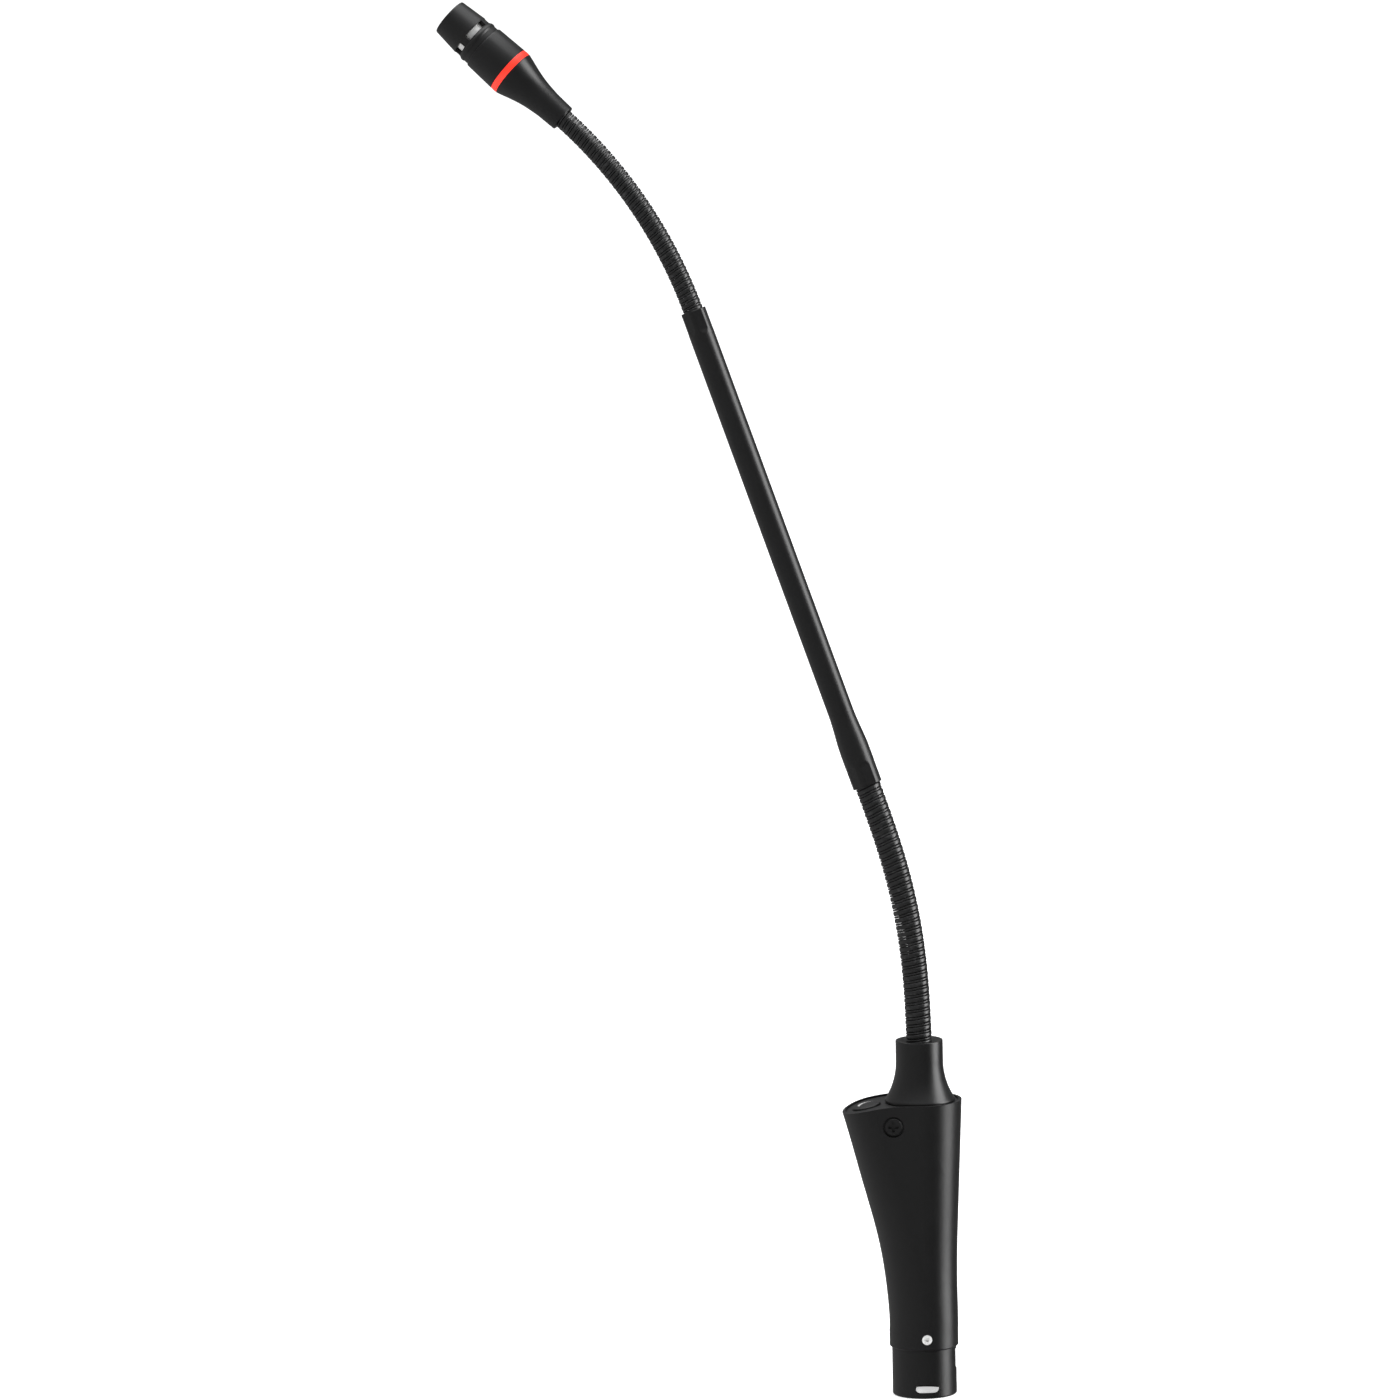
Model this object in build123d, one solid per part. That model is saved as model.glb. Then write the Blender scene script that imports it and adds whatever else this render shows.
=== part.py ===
from build123d import *
from math import asin, cos, radians, sin, sqrt, tan
import os

# Gooseneck podium microphone with a three-pin audio plug, a mute button and a ring light.
# Millimetres, +Z up. The origin is on the plug's axis, at the shoulder where the plug's
# barrel meets the housing. The lobe with the button points to -X, and the plate screw and
# the plug's oblong slot are on the -Y side.

# ---- Plug ----
PLUG_R = 9.5              # standard barrel, 19 mm across
PLUG_LENGTH = 14.4
PLUG_BORE_R = 8.3
PLUG_EDGE = 0.5
SHANK_R = 8.55
SHANK_TOP = 12.0
SLOT_LENGTH = 6.9
SLOT_WIDTH = 2.55
SLOT_HEIGHT = -11.5
WINDOW_WIDTH = 6.0
WINDOW_LOW = -7.0
WINDOW_HIGH = -0.8
INSERT_FACE = -1.4
INSERT_TOP = 4.0
PIN_R = 1.18
PIN_TIP = -10.9
PIN_TAIL = 9.0
PIN_SHANK_R = 1.4         # where the insert holds the pin
PIN_CENTRES = [(0, 3.81), (0, -3.81), (-3.81, 0)]
SET_SCREW_R = 1.5
SET_SCREW_HEIGHT = 3.5

# ---- Housing: the hull of a round neck column and a lobe that leans out to -X ----
COLUMN_R = 10.15
COLUMN_FLARE_START = 20.0
COLUMN_FLARE_ARC_R = 300.0
COLUMN_FLARE_TURN = 2.6
LOBE_START = 4.6
LOBE_ARC_R = 136.0
LOBE_TURN = 14.8
LOBE_TIP_R = 10.5
RIM = 74.1                # top edge, level round the boot
RIM_BEND_X = -5.0         # from here the rim curves down to the lobe's tip
RIM_ARC_R = 52.0
WALL = 1.8
RIM_WALL = 0.9
PLATE_RECESS = 0.5
PLATE_THICKNESS = 2.0
CAVITY_FLOOR = 13.0
FOOT_CHAMFER = 0.4

# ---- Side screws that hold the top plate ----
SCREW_X = -9.0
SCREW_HEIGHT = 68.0
SCREW_HEAD_R = 2.6
SCREW_SINK_R = 3.15
SCREW_HEAD = 0.9
SCREW_SHANK_R = 1.25
SCREW_SHANK = 4.2
SIDE_TURN = 7.6           # the side wall's face turns this far from -Y towards -X
SIDE_TILT = 3.0           # and leans this far below level

# ---- Mute button and its switch ----
BUTTON_X = -16.0
BUTTON_R = 4.2
BUTTON_GAP = 0.15
BUTTON_PROUD = 0.5
BUTTON_FLANGE_R = 4.8
BUTTON_FLANGE = 0.8
BUTTON_TRAVEL = 0.6
BUTTON_CROWN = 0.45
BUTTON_SEAT_GAP = 0.3     # round the flange in the plate's flat seat
SWITCH_SIDE = 6.0
SWITCH_PLUNGER_R = 1.7
SWITCH_POST = (5.8, -1.5) # the posts that carry the switch's board
SWITCH_POST_R = 0.8
# depths along the button's axis, from the plate's underside
BUTTON_STEM_END = -1.9
SWITCH_TOP = BUTTON_STEM_END - BUTTON_TRAVEL - 0.2
SWITCH_BOTTOM = -5.9
SWITCH_BOARD_BOTTOM = -6.9

# ---- Boot, bush and nut ----
BOOT_FOOT_R = 10.4
BOOT_NECK_R = 7.0
BOOT_ARC_R = 20.6
BOOT_ARC_TOP = 85.6
BOOT_TOP = 92.0
BOOT_LAND = 0.7
BOOT_DISH = 1.0
BUSH_R = 4.58
BUSH_FLANGE_R = 6.5
BUSH_FLANGE = 1.6
BUSH_BOTTOM = 64.0
NUT_FLATS = 13.0
NUT_HEIGHT = 3.2
NUT_SEAT_R = 7.8          # flat seat under the curved plate

# ---- Gooseneck: two wound coils with a tube between ----
LOWER_COIL_R = 3.85
UPPER_COIL_R = 3.05
LOWER_START = 91.1
LOWER_LENGTH = 78.2
UPPER_LENGTH = 69.2
TUBE_LENGTH = 148.9
LEAN_START = 1.4          # degrees from +Z where the lower coil starts
LEAN_TUBE = 20.7
LEAN_HEAD = 49.4
TURN_TUBE = 26.7          # each lean's heading, in degrees from -X towards +Y
TURN_HEAD = 21.5
LINKS = 10                # joints in each coil
WALK_STEPS = 400
LOWER_PITCH = 2.2         # the wound wire's pitch
UPPER_PITCH = 2.0
LINK_SWING = 19.5         # degrees that a link's shoulder leaves room for
FERRULE_DEPTH = 14.0
HEAD_FERRULE_DEPTH = 9.5
COIL_LINK_BORE_R = 1.6
CABLE_R = 1.2
CABLE_BEND = 40.0
TUBE_R = 3.8
TUBE_FLARE_R = 4.45
TUBE_FLARE_STRAIGHT = 10.8
TUBE_FLARE_END = 22.8
TUBE_BORE_R = 3.1
SOCKET_DEPTH = 16.0
CRIMP_LENGTH = 7.6
CRIMP_DEPTH = 0.17
CRIMP_FLATS = 6

# ---- Head, measured along its own axis from the end of the upper coil ----
CONE_PROFILE = [(4.3, 6.0), (4.72, 9.5), (5.5, 13.5), (6.5, 17.0), (7.36, 19.9)]
CONE_LIP_R = 4.05
RING_LOW = 20.0
RING_HIGH = 21.95
RING_R = 7.42
SPIGOT_R = 5.85
SPIGOT_BORE_R = 5.0
SPIGOT_TOP = 26.0
BODY_LOW_R = 7.4
BODY_HIGH_R = 7.07
BODY_TOP = 31.9
BODY_BORE_R = 6.2
CAP_NECK_R = 6.7
CAP_BUMP_R = 6.95
CAP_SLOT_R = 6.57
CAP_BASE_R = 6.6
CAP_TIP_R = 5.85
CAP_TOP = 45.5
CAP_BORE_R = 5.6
CAP_SEAT_R = 5.25
CAP_MOUTH_R = 4.3
VENT_LOW = 35.2
VENT_HIGH = 37.1
VENT_RIB = 22.0           # degrees of wall between one side vent and the next
VENT_RIB_HEADING = 19.7   # degrees from the head's -Y side, clockwise seen from the tip
CAN_R = 5.0
CAN_LOW = 33.5
CAN_TOP = 42.3
CAN_WALL = 0.25
HEAD_CABLE_R = 0.9
HEAD_CABLE_LOW = 9.7
LED_COUNT = 6
LED_CIRCLE_R = 4.2

# ---- Boards and wires in the housing ----
BOARD_FRONT = 3.0
BOARD_BACK = 4.6
BOARD_LOW = 20.0
BOARD_HIGH = 60.0
BOARD_HALF = 6.2
BOARD_SCREW_LOW = 25.0
BOARD_SCREW_HIGH = 50.0
HEADER_TOP = 59.0


# ---- Small shape helpers ----

def disc(radius, low, high, at=(0, 0)):
    """A cylinder about +Z between two heights."""
    upright = (Align.CENTER, Align.CENTER, Align.MIN)
    return Pos(at[0], at[1], low) * Cylinder(radius, high - low, align=upright)


def ring(outer, inner, low, high):
    """A washer or a sleeve about +Z between two heights."""
    return disc(outer, low, high) - disc(inner, low - 1, high + 1)


def block(x, y, z):
    """A box given by its lowest and highest X, Y and Z."""
    centre = Pos((x[0] + x[1]) / 2, (y[0] + y[1]) / 2, (z[0] + z[1]) / 2)
    return centre * Box(x[1] - x[0], y[1] - y[0], z[1] - z[0])


def turned(*edges):
    """Turns an outline of edges, drawn as (radius, height), about +Z."""
    return revolve(Plane.XZ * make_face(edges), Axis.Z)


def turned_points(points):
    """Turns a closed outline of straight lines, given as (radius, height), about +Z."""
    return turned(*Polyline(*points, close=True).edges())


def round_tube(points, radius, bend):
    """A round wire or cable through the given points, with arcs at its corners."""
    if len(points) > 2:
        path = FilletPolyline(*points, radius=bend)
    else:
        path = Line(*points)
    start = Plane(origin=path @ 0, z_dir=path % 0)
    return sweep(start * Circle(radius), path=path)


# ---- Directions and the two curves of the gooseneck at rest ----

def heading(lean, turn):
    """The unit vector that leans from +Z by lean, towards -X turned to +Y by turn."""
    level = sin(radians(lean))
    return Vector(-level * cos(radians(turn)), level * sin(radians(turn)), cos(radians(lean)))


def smooth(t):
    return t * t * (3 - 2 * t)


def even(t):
    return t


def walk(start, first, last, length, share):
    """Points of a curve of the given length that turns from first to last in one plane.

    share(t) is how much of the turn is done at the fraction t of the length.
    """
    turn = first.get_angle(last)
    axis = Axis((0, 0, 0), first.cross(last))
    points = [start]
    for step in range(WALK_STEPS):
        here = share((step + 0.5) / WALK_STEPS)
        points.append(points[-1] + first.rotate(axis, turn * here) * (length / WALK_STEPS))
    return points


def joints_on(points):
    """The joint centres, spaced evenly along a curve, half a link in from its ends."""
    step = WALK_STEPS // LINKS
    return [points[step * i + step // 2] for i in range(LINKS)]


BASE_DIRECTION = heading(LEAN_START, TURN_TUBE)
TUBE_DIRECTION = heading(LEAN_TUBE, TURN_TUBE)
HEAD_DIRECTION = heading(LEAN_HEAD, TURN_HEAD)
LOWER_CURVE = walk(Vector(0, 0, LOWER_START), BASE_DIRECTION, TUBE_DIRECTION, LOWER_LENGTH, smooth)
TUBE_START = LOWER_CURVE[-1]
TUBE_END = TUBE_START + TUBE_DIRECTION * TUBE_LENGTH
UPPER_CURVE = walk(TUBE_END, TUBE_DIRECTION, HEAD_DIRECTION, UPPER_LENGTH, even)
HEAD_START = UPPER_CURVE[-1]
LOWER_JOINTS = joints_on(LOWER_CURVE)
UPPER_JOINTS = joints_on(UPPER_CURVE)


# ---- Housing ----

def column_radius(height):
    """The round column's radius: straight, then an arc, then a straight flare."""
    arc_height = COLUMN_FLARE_ARC_R * sin(radians(COLUMN_FLARE_TURN))
    rise = height - COLUMN_FLARE_START
    if rise <= 0:
        return COLUMN_R
    if rise < arc_height:
        return COLUMN_R + COLUMN_FLARE_ARC_R - sqrt(COLUMN_FLARE_ARC_R**2 - rise**2)
    arc_out = COLUMN_FLARE_ARC_R * (1 - cos(radians(COLUMN_FLARE_TURN)))
    return COLUMN_R + arc_out + (rise - arc_height) * tan(radians(COLUMN_FLARE_TURN))


def lobe_reach(height):
    """How far the lobe's edge stands out to -X: an arc, then a straight slope."""
    arc_height = LOBE_ARC_R * sin(radians(LOBE_TURN))
    rise = height - LOBE_START
    if rise < arc_height:
        return COLUMN_R + LOBE_ARC_R - sqrt(LOBE_ARC_R**2 - rise**2)
    arc_out = LOBE_ARC_R * (1 - cos(radians(LOBE_TURN)))
    return COLUMN_R + arc_out + (rise - arc_height) * tan(radians(LOBE_TURN))


def housing_section(height, inset):
    """The level outline at a height: two circles and the two lines that touch both."""
    share = (height - LOBE_START) / (RIM - LOBE_START)
    big = column_radius(height) - inset
    small = COLUMN_R + (LOBE_TIP_R - COLUMN_R) * share - inset
    reach = max(lobe_reach(height) - inset - small, 0.05)
    lean = asin(max(-1.0, min(1.0, (big - small) / reach))) if reach > 0.06 else 0.0
    column_touch = (-big * sin(lean), big * cos(lean))
    lobe_touch = (-reach - small * sin(lean), small * cos(lean))
    outline = [
        ThreePointArc((column_touch[0], -column_touch[1]), (big, 0), column_touch),
        Line(column_touch, lobe_touch),
        ThreePointArc(lobe_touch, (-reach - small, 0), (lobe_touch[0], -lobe_touch[1])),
        Line((lobe_touch[0], -lobe_touch[1]), (column_touch[0], -column_touch[1])),
    ]
    return Pos(0, 0, height) * make_face(outline)


def housing_loft(low, inset, sections=8):
    """The housing's tapering outline as a solid from a height to above the rim."""
    top = RIM + 3
    heights = [low + (top - low) * i / (sections - 1) for i in range(sections)]
    return loft([housing_section(height, inset) for height in heights])


def below_rim(drop):
    """Everything below the rim's curve, lowered by drop."""
    level = RIM - drop
    end_x = -26.0
    end_drop = RIM_ARC_R - sqrt(RIM_ARC_R**2 - (end_x - RIM_BEND_X)**2)
    middle_x = (end_x + RIM_BEND_X) / 2
    middle_drop = RIM_ARC_R - sqrt(RIM_ARC_R**2 - (middle_x - RIM_BEND_X)**2)
    outline = [
        Line((16, level), (RIM_BEND_X, level)),
        ThreePointArc((RIM_BEND_X, level), (middle_x, level - middle_drop), (end_x, level - end_drop)),
        Line((end_x, level - end_drop), (end_x, -5)),
        Line((end_x, -5), (16, -5)),
        Line((16, -5), (16, level)),
    ]
    return extrude(Plane.XZ * make_face(outline), amount=16, both=True)


def rim_point(x, depth):
    """A point at a depth square below the rim's curve, above the middle of the lobe."""
    slope = asin((RIM_BEND_X - x) / RIM_ARC_R)
    top = Vector(x, 0, RIM - RIM_ARC_R * (1 - cos(slope)))
    normal = Vector(-sin(slope), 0, cos(slope))
    return top - normal * depth, normal


def side_plane(side, depth):
    """A plane on the side wall at the plate screw, facing out. side is -1 for -Y, 1 for +Y."""
    big = column_radius(SCREW_HEIGHT)
    lean = radians(SIDE_TURN)
    level = cos(radians(SIDE_TILT))
    out = Vector(-sin(lean) * level, side * cos(lean) * level, -sin(radians(SIDE_TILT)))
    touch = Vector(-big * sin(lean), side * big * cos(lean), SCREW_HEIGHT)
    along = Vector(-cos(lean), -side * sin(lean), 0)
    centre = touch + along * ((touch.X - SCREW_X) / cos(lean))
    return Plane(origin=centre - out * depth, x_dir=along, z_dir=out)


def plug_barrel():
    half = SLOT_LENGTH / 2 - SLOT_WIDTH / 2
    body = ring(PLUG_R, PLUG_BORE_R, -PLUG_LENGTH, 0)
    foot = body.edges().filter_by(GeomType.CIRCLE).group_by(Axis.Z)[0].sort_by(SortBy.RADIUS)
    body = fillet(foot[-1], PLUG_EDGE)
    body += ring(SHANK_R, PLUG_BORE_R - 0.9, -0.4, SHANK_TOP)
    slot = SlotOverall(2 * half + SLOT_WIDTH, SLOT_WIDTH)
    body -= extrude(Plane(origin=(0, 0, SLOT_HEIGHT), x_dir=(1, 0, 0), z_dir=(0, -1, 0)) * slot, amount=12)
    body -= block((5, 12), (-WINDOW_WIDTH / 2, WINDOW_WIDTH / 2), (WINDOW_LOW, WINDOW_HIGH))
    return body - Pos(0, 0, SET_SCREW_HEIGHT) * (Rot(90, 0, 0) * disc(SET_SCREW_R, 6, 10))


def plug_insert():
    body = disc(PLUG_BORE_R, INSERT_FACE, -0.4) + disc(PLUG_BORE_R - 0.9, -0.4, INSERT_TOP)
    for centre in PIN_CENTRES:
        body -= disc(PIN_SHANK_R, INSERT_FACE - 1, INSERT_TOP + 1, centre)
    return body


def contact_pin(centre):
    tip = Pos(centre[0], centre[1], PIN_TIP + PIN_R) * Sphere(PIN_R)
    cup = disc(PIN_R - 0.35, PIN_TAIL - 3, PIN_TAIL + 1, centre)
    shank = disc(PIN_SHANK_R, INSERT_FACE, PIN_TAIL, centre)
    return tip + disc(PIN_R, PIN_TIP + PIN_R, INSERT_FACE, centre) + shank - cup


def set_screw():
    screw = disc(SET_SCREW_R, PLUG_BORE_R - 0.8, COLUMN_R - 0.12)
    socket = extrude(Pos(0, 0, COLUMN_R - 0.9) * RegularPolygon(0.75, 6), amount=1)
    return Pos(0, 0, SET_SCREW_HEIGHT) * (Rot(90, 0, 0) * (screw - socket))


def housing_shell():
    column = extrude(housing_section(LOBE_START, 0.0), amount=LOBE_START, dir=(0, 0, -1))
    column = chamfer(column.edges().group_by(Axis.Z)[0], FOOT_CHAMFER)
    shell = column + housing_loft(LOBE_START, 0.0) & below_rim(0)
    cavity = housing_loft(CAVITY_FLOOR, WALL, sections=7)
    seat = housing_loft(50, RIM_WALL, sections=4) - below_rim(PLATE_RECESS + PLATE_THICKNESS)
    shell = shell - cavity - seat - disc(SHANK_R, -1, CAVITY_FLOOR + 0.5)
    for height in (BOARD_SCREW_LOW, BOARD_SCREW_HIGH):
        post = Rot(-90, 0, 0) * disc(2.2, BOARD_BACK, 9.5) - Rot(-90, 0, 0) * disc(1.0, 0, BOARD_BACK + 3)
        shell += Pos(0, 0, height) * post
    shell -= Pos(0, 0, SET_SCREW_HEIGHT) * (Rot(90, 0, 0) * disc(SET_SCREW_R, 6, 12))
    for side in (-1, 1):
        shell -= side_plane(side, SCREW_HEAD) * disc(SCREW_SINK_R, 0, 3)
        shell -= side_plane(side, SCREW_HEAD) * disc(SCREW_SHANK_R + 0.05, -3, 1)
    return shell


def plate_screw(side):
    screw = disc(SCREW_HEAD_R, 0, SCREW_HEAD - 0.05)
    screw = chamfer(screw.edges().group_by(Axis.Z)[-1], 0.15)
    screw += disc(SCREW_SHANK_R, -SCREW_SHANK, 0.1)
    cross = Box(3.1, 0.9, 1.4) + Box(0.9, 3.1, 1.4)
    return side_plane(side, SCREW_HEAD) * (screw - Pos(0, 0, SCREW_HEAD) * cross)


def top_plate():
    depth = PLATE_RECESS + PLATE_THICKNESS
    plate = housing_loft(50, RIM_WALL + 0.03, sections=4) & (below_rim(PLATE_RECESS) - below_rim(depth))
    for side in (-1, 1):
        near, far = sorted((side * 6.9, side * 12.0))
        lug = block((SCREW_X - 2.6, SCREW_X + 2.2), (near, far), (SCREW_HEIGHT - 3, RIM - depth + 0.3))
        lug = lug & housing_loft(50, WALL + 0.05, sections=4) & below_rim(depth - 0.3)
        plate += lug - side_plane(side, SCREW_HEAD) * disc(SCREW_SHANK_R, -12, 3)
    for x in (-SWITCH_POST[0], SWITCH_POST[0]):
        plate += button_plane() * disc(SWITCH_POST_R, SWITCH_BOTTOM, 0.5, (x, SWITCH_POST[1]))
    plate -= button_plane() * disc(BUTTON_R + BUTTON_GAP, -4, 6)
    plate -= button_plane() * disc(BUTTON_FLANGE_R + BUTTON_SEAT_GAP, -4, 0)
    plate -= disc(NUT_SEAT_R, RIM - depth - 1, RIM - depth)
    return plate - disc(BUSH_R + 0.05, RIM - 8, RIM + 1)


def button_plane():
    foot, normal = rim_point(BUTTON_X, PLATE_RECESS + PLATE_THICKNESS)
    return Plane(origin=foot, x_dir=(0, 1, 0), z_dir=normal)


def mute_button():
    top = PLATE_THICKNESS + BUTTON_PROUD
    edge = 0.3
    dome_r = BUTTON_R - edge
    dome_arc = (dome_r**2 + BUTTON_CROWN**2) / (2 * BUTTON_CROWN)
    half_drop = dome_arc - sqrt(dome_arc**2 - (dome_r / 2)**2)
    cap = turned(
        Line((0, -0.02), (BUTTON_R, -0.02)),
        Line((BUTTON_R, -0.02), (BUTTON_R, top - edge)),
        ThreePointArc((BUTTON_R, top - edge), (BUTTON_R - edge * 0.3, top - edge * 0.3), (dome_r, top)),
        ThreePointArc((dome_r, top), (dome_r / 2, top + BUTTON_CROWN - half_drop), (0, top + BUTTON_CROWN)),
        Line((0, top + BUTTON_CROWN), (0, -0.02)),
    )
    flange = disc(BUTTON_FLANGE_R, -0.02 - BUTTON_FLANGE, -0.02)
    stem = disc(1.6, BUTTON_STEM_END, -0.5)
    return button_plane() * (cap + flange + stem)


def switch_plunger():
    return button_plane() * disc(SWITCH_PLUNGER_R, SWITCH_TOP - 1.0, BUTTON_STEM_END)


def switch_body():
    side = SWITCH_SIDE / 2
    body = block((-side, side), (-side, side), (SWITCH_BOTTOM, SWITCH_TOP))
    return button_plane() * (body - disc(SWITCH_PLUNGER_R + 0.05, SWITCH_TOP - 1.9, SWITCH_TOP + 1))


def switch_board():
    depth = (SWITCH_BOARD_BOTTOM, SWITCH_BOTTOM)
    board = block((-3.4, 3.4), (-3.4, 3.4), depth) + block((-6.7, 6.7), (-3.4, 0.4), depth)
    return button_plane() * board


# ---- Boot, bush and nut ----

def neck_boot():
    foot = RIM - PLATE_RECESS
    arc_centre = BOOT_NECK_R + BOOT_ARC_R
    arc_low = foot + 0.7
    arc_r = arc_centre - sqrt(BOOT_ARC_R**2 - (BOOT_ARC_TOP - arc_low)**2)
    middle = (arc_low + BOOT_ARC_TOP) / 2
    middle_r = arc_centre - sqrt(BOOT_ARC_R**2 - (BOOT_ARC_TOP - middle)**2)
    edge = 0.35
    boot = turned(
        Line((0, foot), (BOOT_FOOT_R, foot)),
        Line((BOOT_FOOT_R, foot), (arc_r, arc_low)),
        ThreePointArc((arc_r, arc_low), (middle_r, middle), (BOOT_NECK_R, BOOT_ARC_TOP)),
        Line((BOOT_NECK_R, BOOT_ARC_TOP), (BOOT_NECK_R, BOOT_TOP - edge)),
        ThreePointArc(
            (BOOT_NECK_R, BOOT_TOP - edge),
            (BOOT_NECK_R - edge * 0.3, BOOT_TOP - edge * 0.3),
            (BOOT_NECK_R - edge, BOOT_TOP),
        ),
        Line((BOOT_NECK_R - edge, BOOT_TOP), (BOOT_NECK_R - BOOT_LAND, BOOT_TOP)),
        Line((BOOT_NECK_R - BOOT_LAND, BOOT_TOP), (LOWER_COIL_R, BOOT_TOP - BOOT_DISH)),
        Line((LOWER_COIL_R, BOOT_TOP - BOOT_DISH), (0, BOOT_TOP - BOOT_DISH)),
        Line((0, BOOT_TOP - BOOT_DISH), (0, foot)),
    )
    boot -= disc(BUSH_R, foot - 1, BOOT_TOP - BOOT_DISH - 1.6)
    boot -= disc(LOWER_COIL_R + 0.05, foot, BOOT_TOP + 1)
    return boot - disc(BUSH_FLANGE_R + 0.1, foot - 1, foot + BUSH_FLANGE)


def boot_nut():
    top = RIM - PLATE_RECESS - PLATE_THICKNESS
    hexagon = RegularPolygon(NUT_FLATS / 2, 6, major_radius=False)
    nut = extrude(Pos(0, 0, top - NUT_HEIGHT) * hexagon, amount=NUT_HEIGHT)
    return nut - disc(BUSH_R, top - NUT_HEIGHT - 1, top + 1)


# ---- Coil links: each is a short rigid length with a cup below and a ball above ----

def link_sizes(coil_r):
    """Ball radius, cup radius, cup depth and shoulder distance for a coil's links."""
    ball = coil_r * 0.9
    cup = ball + 0.05
    skirt = coil_r * 0.2
    shoulder = skirt + coil_r * sin(radians(LINK_SWING)) + 0.08
    return ball, cup, skirt, shoulder


def wound_sleeve(coil_r, low, high, pitch):
    """A sleeve with rounded ridges like the turns of a wound wire."""
    turns = max(1, round((high - low) / pitch))
    step = (high - low) / turns
    groove = 0.12
    edges = []
    for i in range(turns):
        bottom = low + step * i
        edges.append(ThreePointArc(
            (coil_r - groove, bottom), (coil_r, bottom + step / 2), (coil_r - groove, bottom + step)))
    edges.append(Line((coil_r - groove, high), (0, high)))
    edges.append(Line((0, high), (0, low)))
    edges.append(Line((0, low), (coil_r - groove, low)))
    return turned(*edges)


def ball_end(coil_r, centre_height):
    ball, cup, skirt, shoulder = link_sizes(coil_r)
    return Pos(0, 0, centre_height) * Sphere(ball) - disc(COIL_LINK_BORE_R, centre_height - 8, centre_height + 8)


def cup_cavity(coil_r, centre_height):
    ball, cup, skirt, shoulder = link_sizes(coil_r)
    return Pos(0, 0, centre_height) * Sphere(cup)


def coil_link(coil_r, length, pitch):
    """One link along +Z from the joint at the origin to the joint at length."""
    ball, cup, skirt, shoulder = link_sizes(coil_r)
    body = wound_sleeve(coil_r, -skirt, length - shoulder, pitch) - cup_cavity(coil_r, 0)
    body -= disc(COIL_LINK_BORE_R, -1, length + 8)
    return body + ball_end(coil_r, length)


def link_plane(start, end):
    return Plane(origin=start, x_dir=Vector(0, 1, 0), z_dir=end - start)


def lower_coil_ferrule():
    """The bush that is clamped in the boot, with the lower coil's first half link on it."""
    ball, cup, skirt, shoulder = link_sizes(LOWER_COIL_R)
    plane = link_plane(LOWER_CURVE[0], LOWER_JOINTS[0])
    reach = (LOWER_JOINTS[0] - LOWER_CURVE[0]).length
    foot = RIM - PLATE_RECESS
    bush = disc(BUSH_R, BUSH_BOTTOM, foot + 1) + disc(BUSH_FLANGE_R, foot, foot + BUSH_FLANGE)
    bush += disc(BUSH_R, foot, BOOT_TOP - BOOT_DISH - 1.6)
    bush += disc(LOWER_COIL_R - 0.05, foot, LOWER_START - 0.05)
    bush += disc(LOWER_COIL_R - 0.65, foot, LOWER_START + 0.6)
    bush -= disc(COIL_LINK_BORE_R + 0.2, BUSH_BOTTOM - 1, LOWER_START - 0.5)
    stub = wound_sleeve(LOWER_COIL_R, 0.12, reach - shoulder, LOWER_PITCH)
    whole = bush + plane * (stub + ball_end(LOWER_COIL_R, reach))
    return whole - plane * disc(COIL_LINK_BORE_R, -1.2, reach)


def end_ferrule(plane, coil_r, joint, pitch, depth, play):
    """A plug in a tube or a neck that lies above plane, with the cup of the coil's last joint."""
    ball, cup, skirt, shoulder = link_sizes(coil_r)
    centre = plane.to_local_coords(joint)
    body = wound_sleeve(coil_r, centre.Z - skirt, 0, pitch) + disc(coil_r - play, -0.3, depth)
    body -= Pos(centre.X, centre.Y, centre.Z) * Sphere(cup)
    return plane * (body - disc(COIL_LINK_BORE_R, centre.Z - 1, depth + 1))


def tube_lower_ferrule():
    return end_ferrule(tube_plane(), LOWER_COIL_R, LOWER_JOINTS[-1], LOWER_PITCH, FERRULE_DEPTH, 0.02)


def head_ferrule():
    return end_ferrule(head_plane(), UPPER_COIL_R, UPPER_JOINTS[-1], UPPER_PITCH, HEAD_FERRULE_DEPTH, 0)


def tube_upper_ferrule():
    """The plug in the tube's upper end, with the ball of the upper coil's first joint."""
    ball, cup, skirt, shoulder = link_sizes(UPPER_COIL_R)
    centre = tube_plane().to_local_coords(UPPER_JOINTS[0])
    low = TUBE_LENGTH - FERRULE_DEPTH
    body = disc(UPPER_COIL_R, low, TUBE_LENGTH + 0.1)
    body += wound_sleeve(UPPER_COIL_R, TUBE_LENGTH, centre.Z - shoulder, UPPER_PITCH)
    body -= disc(COIL_LINK_BORE_R, low - 1, centre.Z)
    return tube_plane() * (body + Pos(centre.X, centre.Y, 0) * ball_end(UPPER_COIL_R, centre.Z))


# ---- Centre tube ----

def crimp_cutter(radius, end, inwards):
    """One pressed flat at a tube's end: a shallow wedge that runs out along the tube."""
    outside = radius + 2
    flat = radius - CRIMP_DEPTH
    outline = Polyline(
        (flat, end - inwards),
        (flat, end + inwards * CRIMP_LENGTH * 0.8),
        (radius + 0.3, end + inwards * CRIMP_LENGTH * 1.15),
        (outside, end + inwards * CRIMP_LENGTH * 1.15),
        (outside, end - inwards),
        close=True,
    )
    return extrude(Plane.XZ * make_face(outline.edges()), amount=4, both=True)


def tube_plane():
    return Plane(origin=TUBE_START, x_dir=(0, 1, 0), z_dir=TUBE_DIRECTION)


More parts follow.
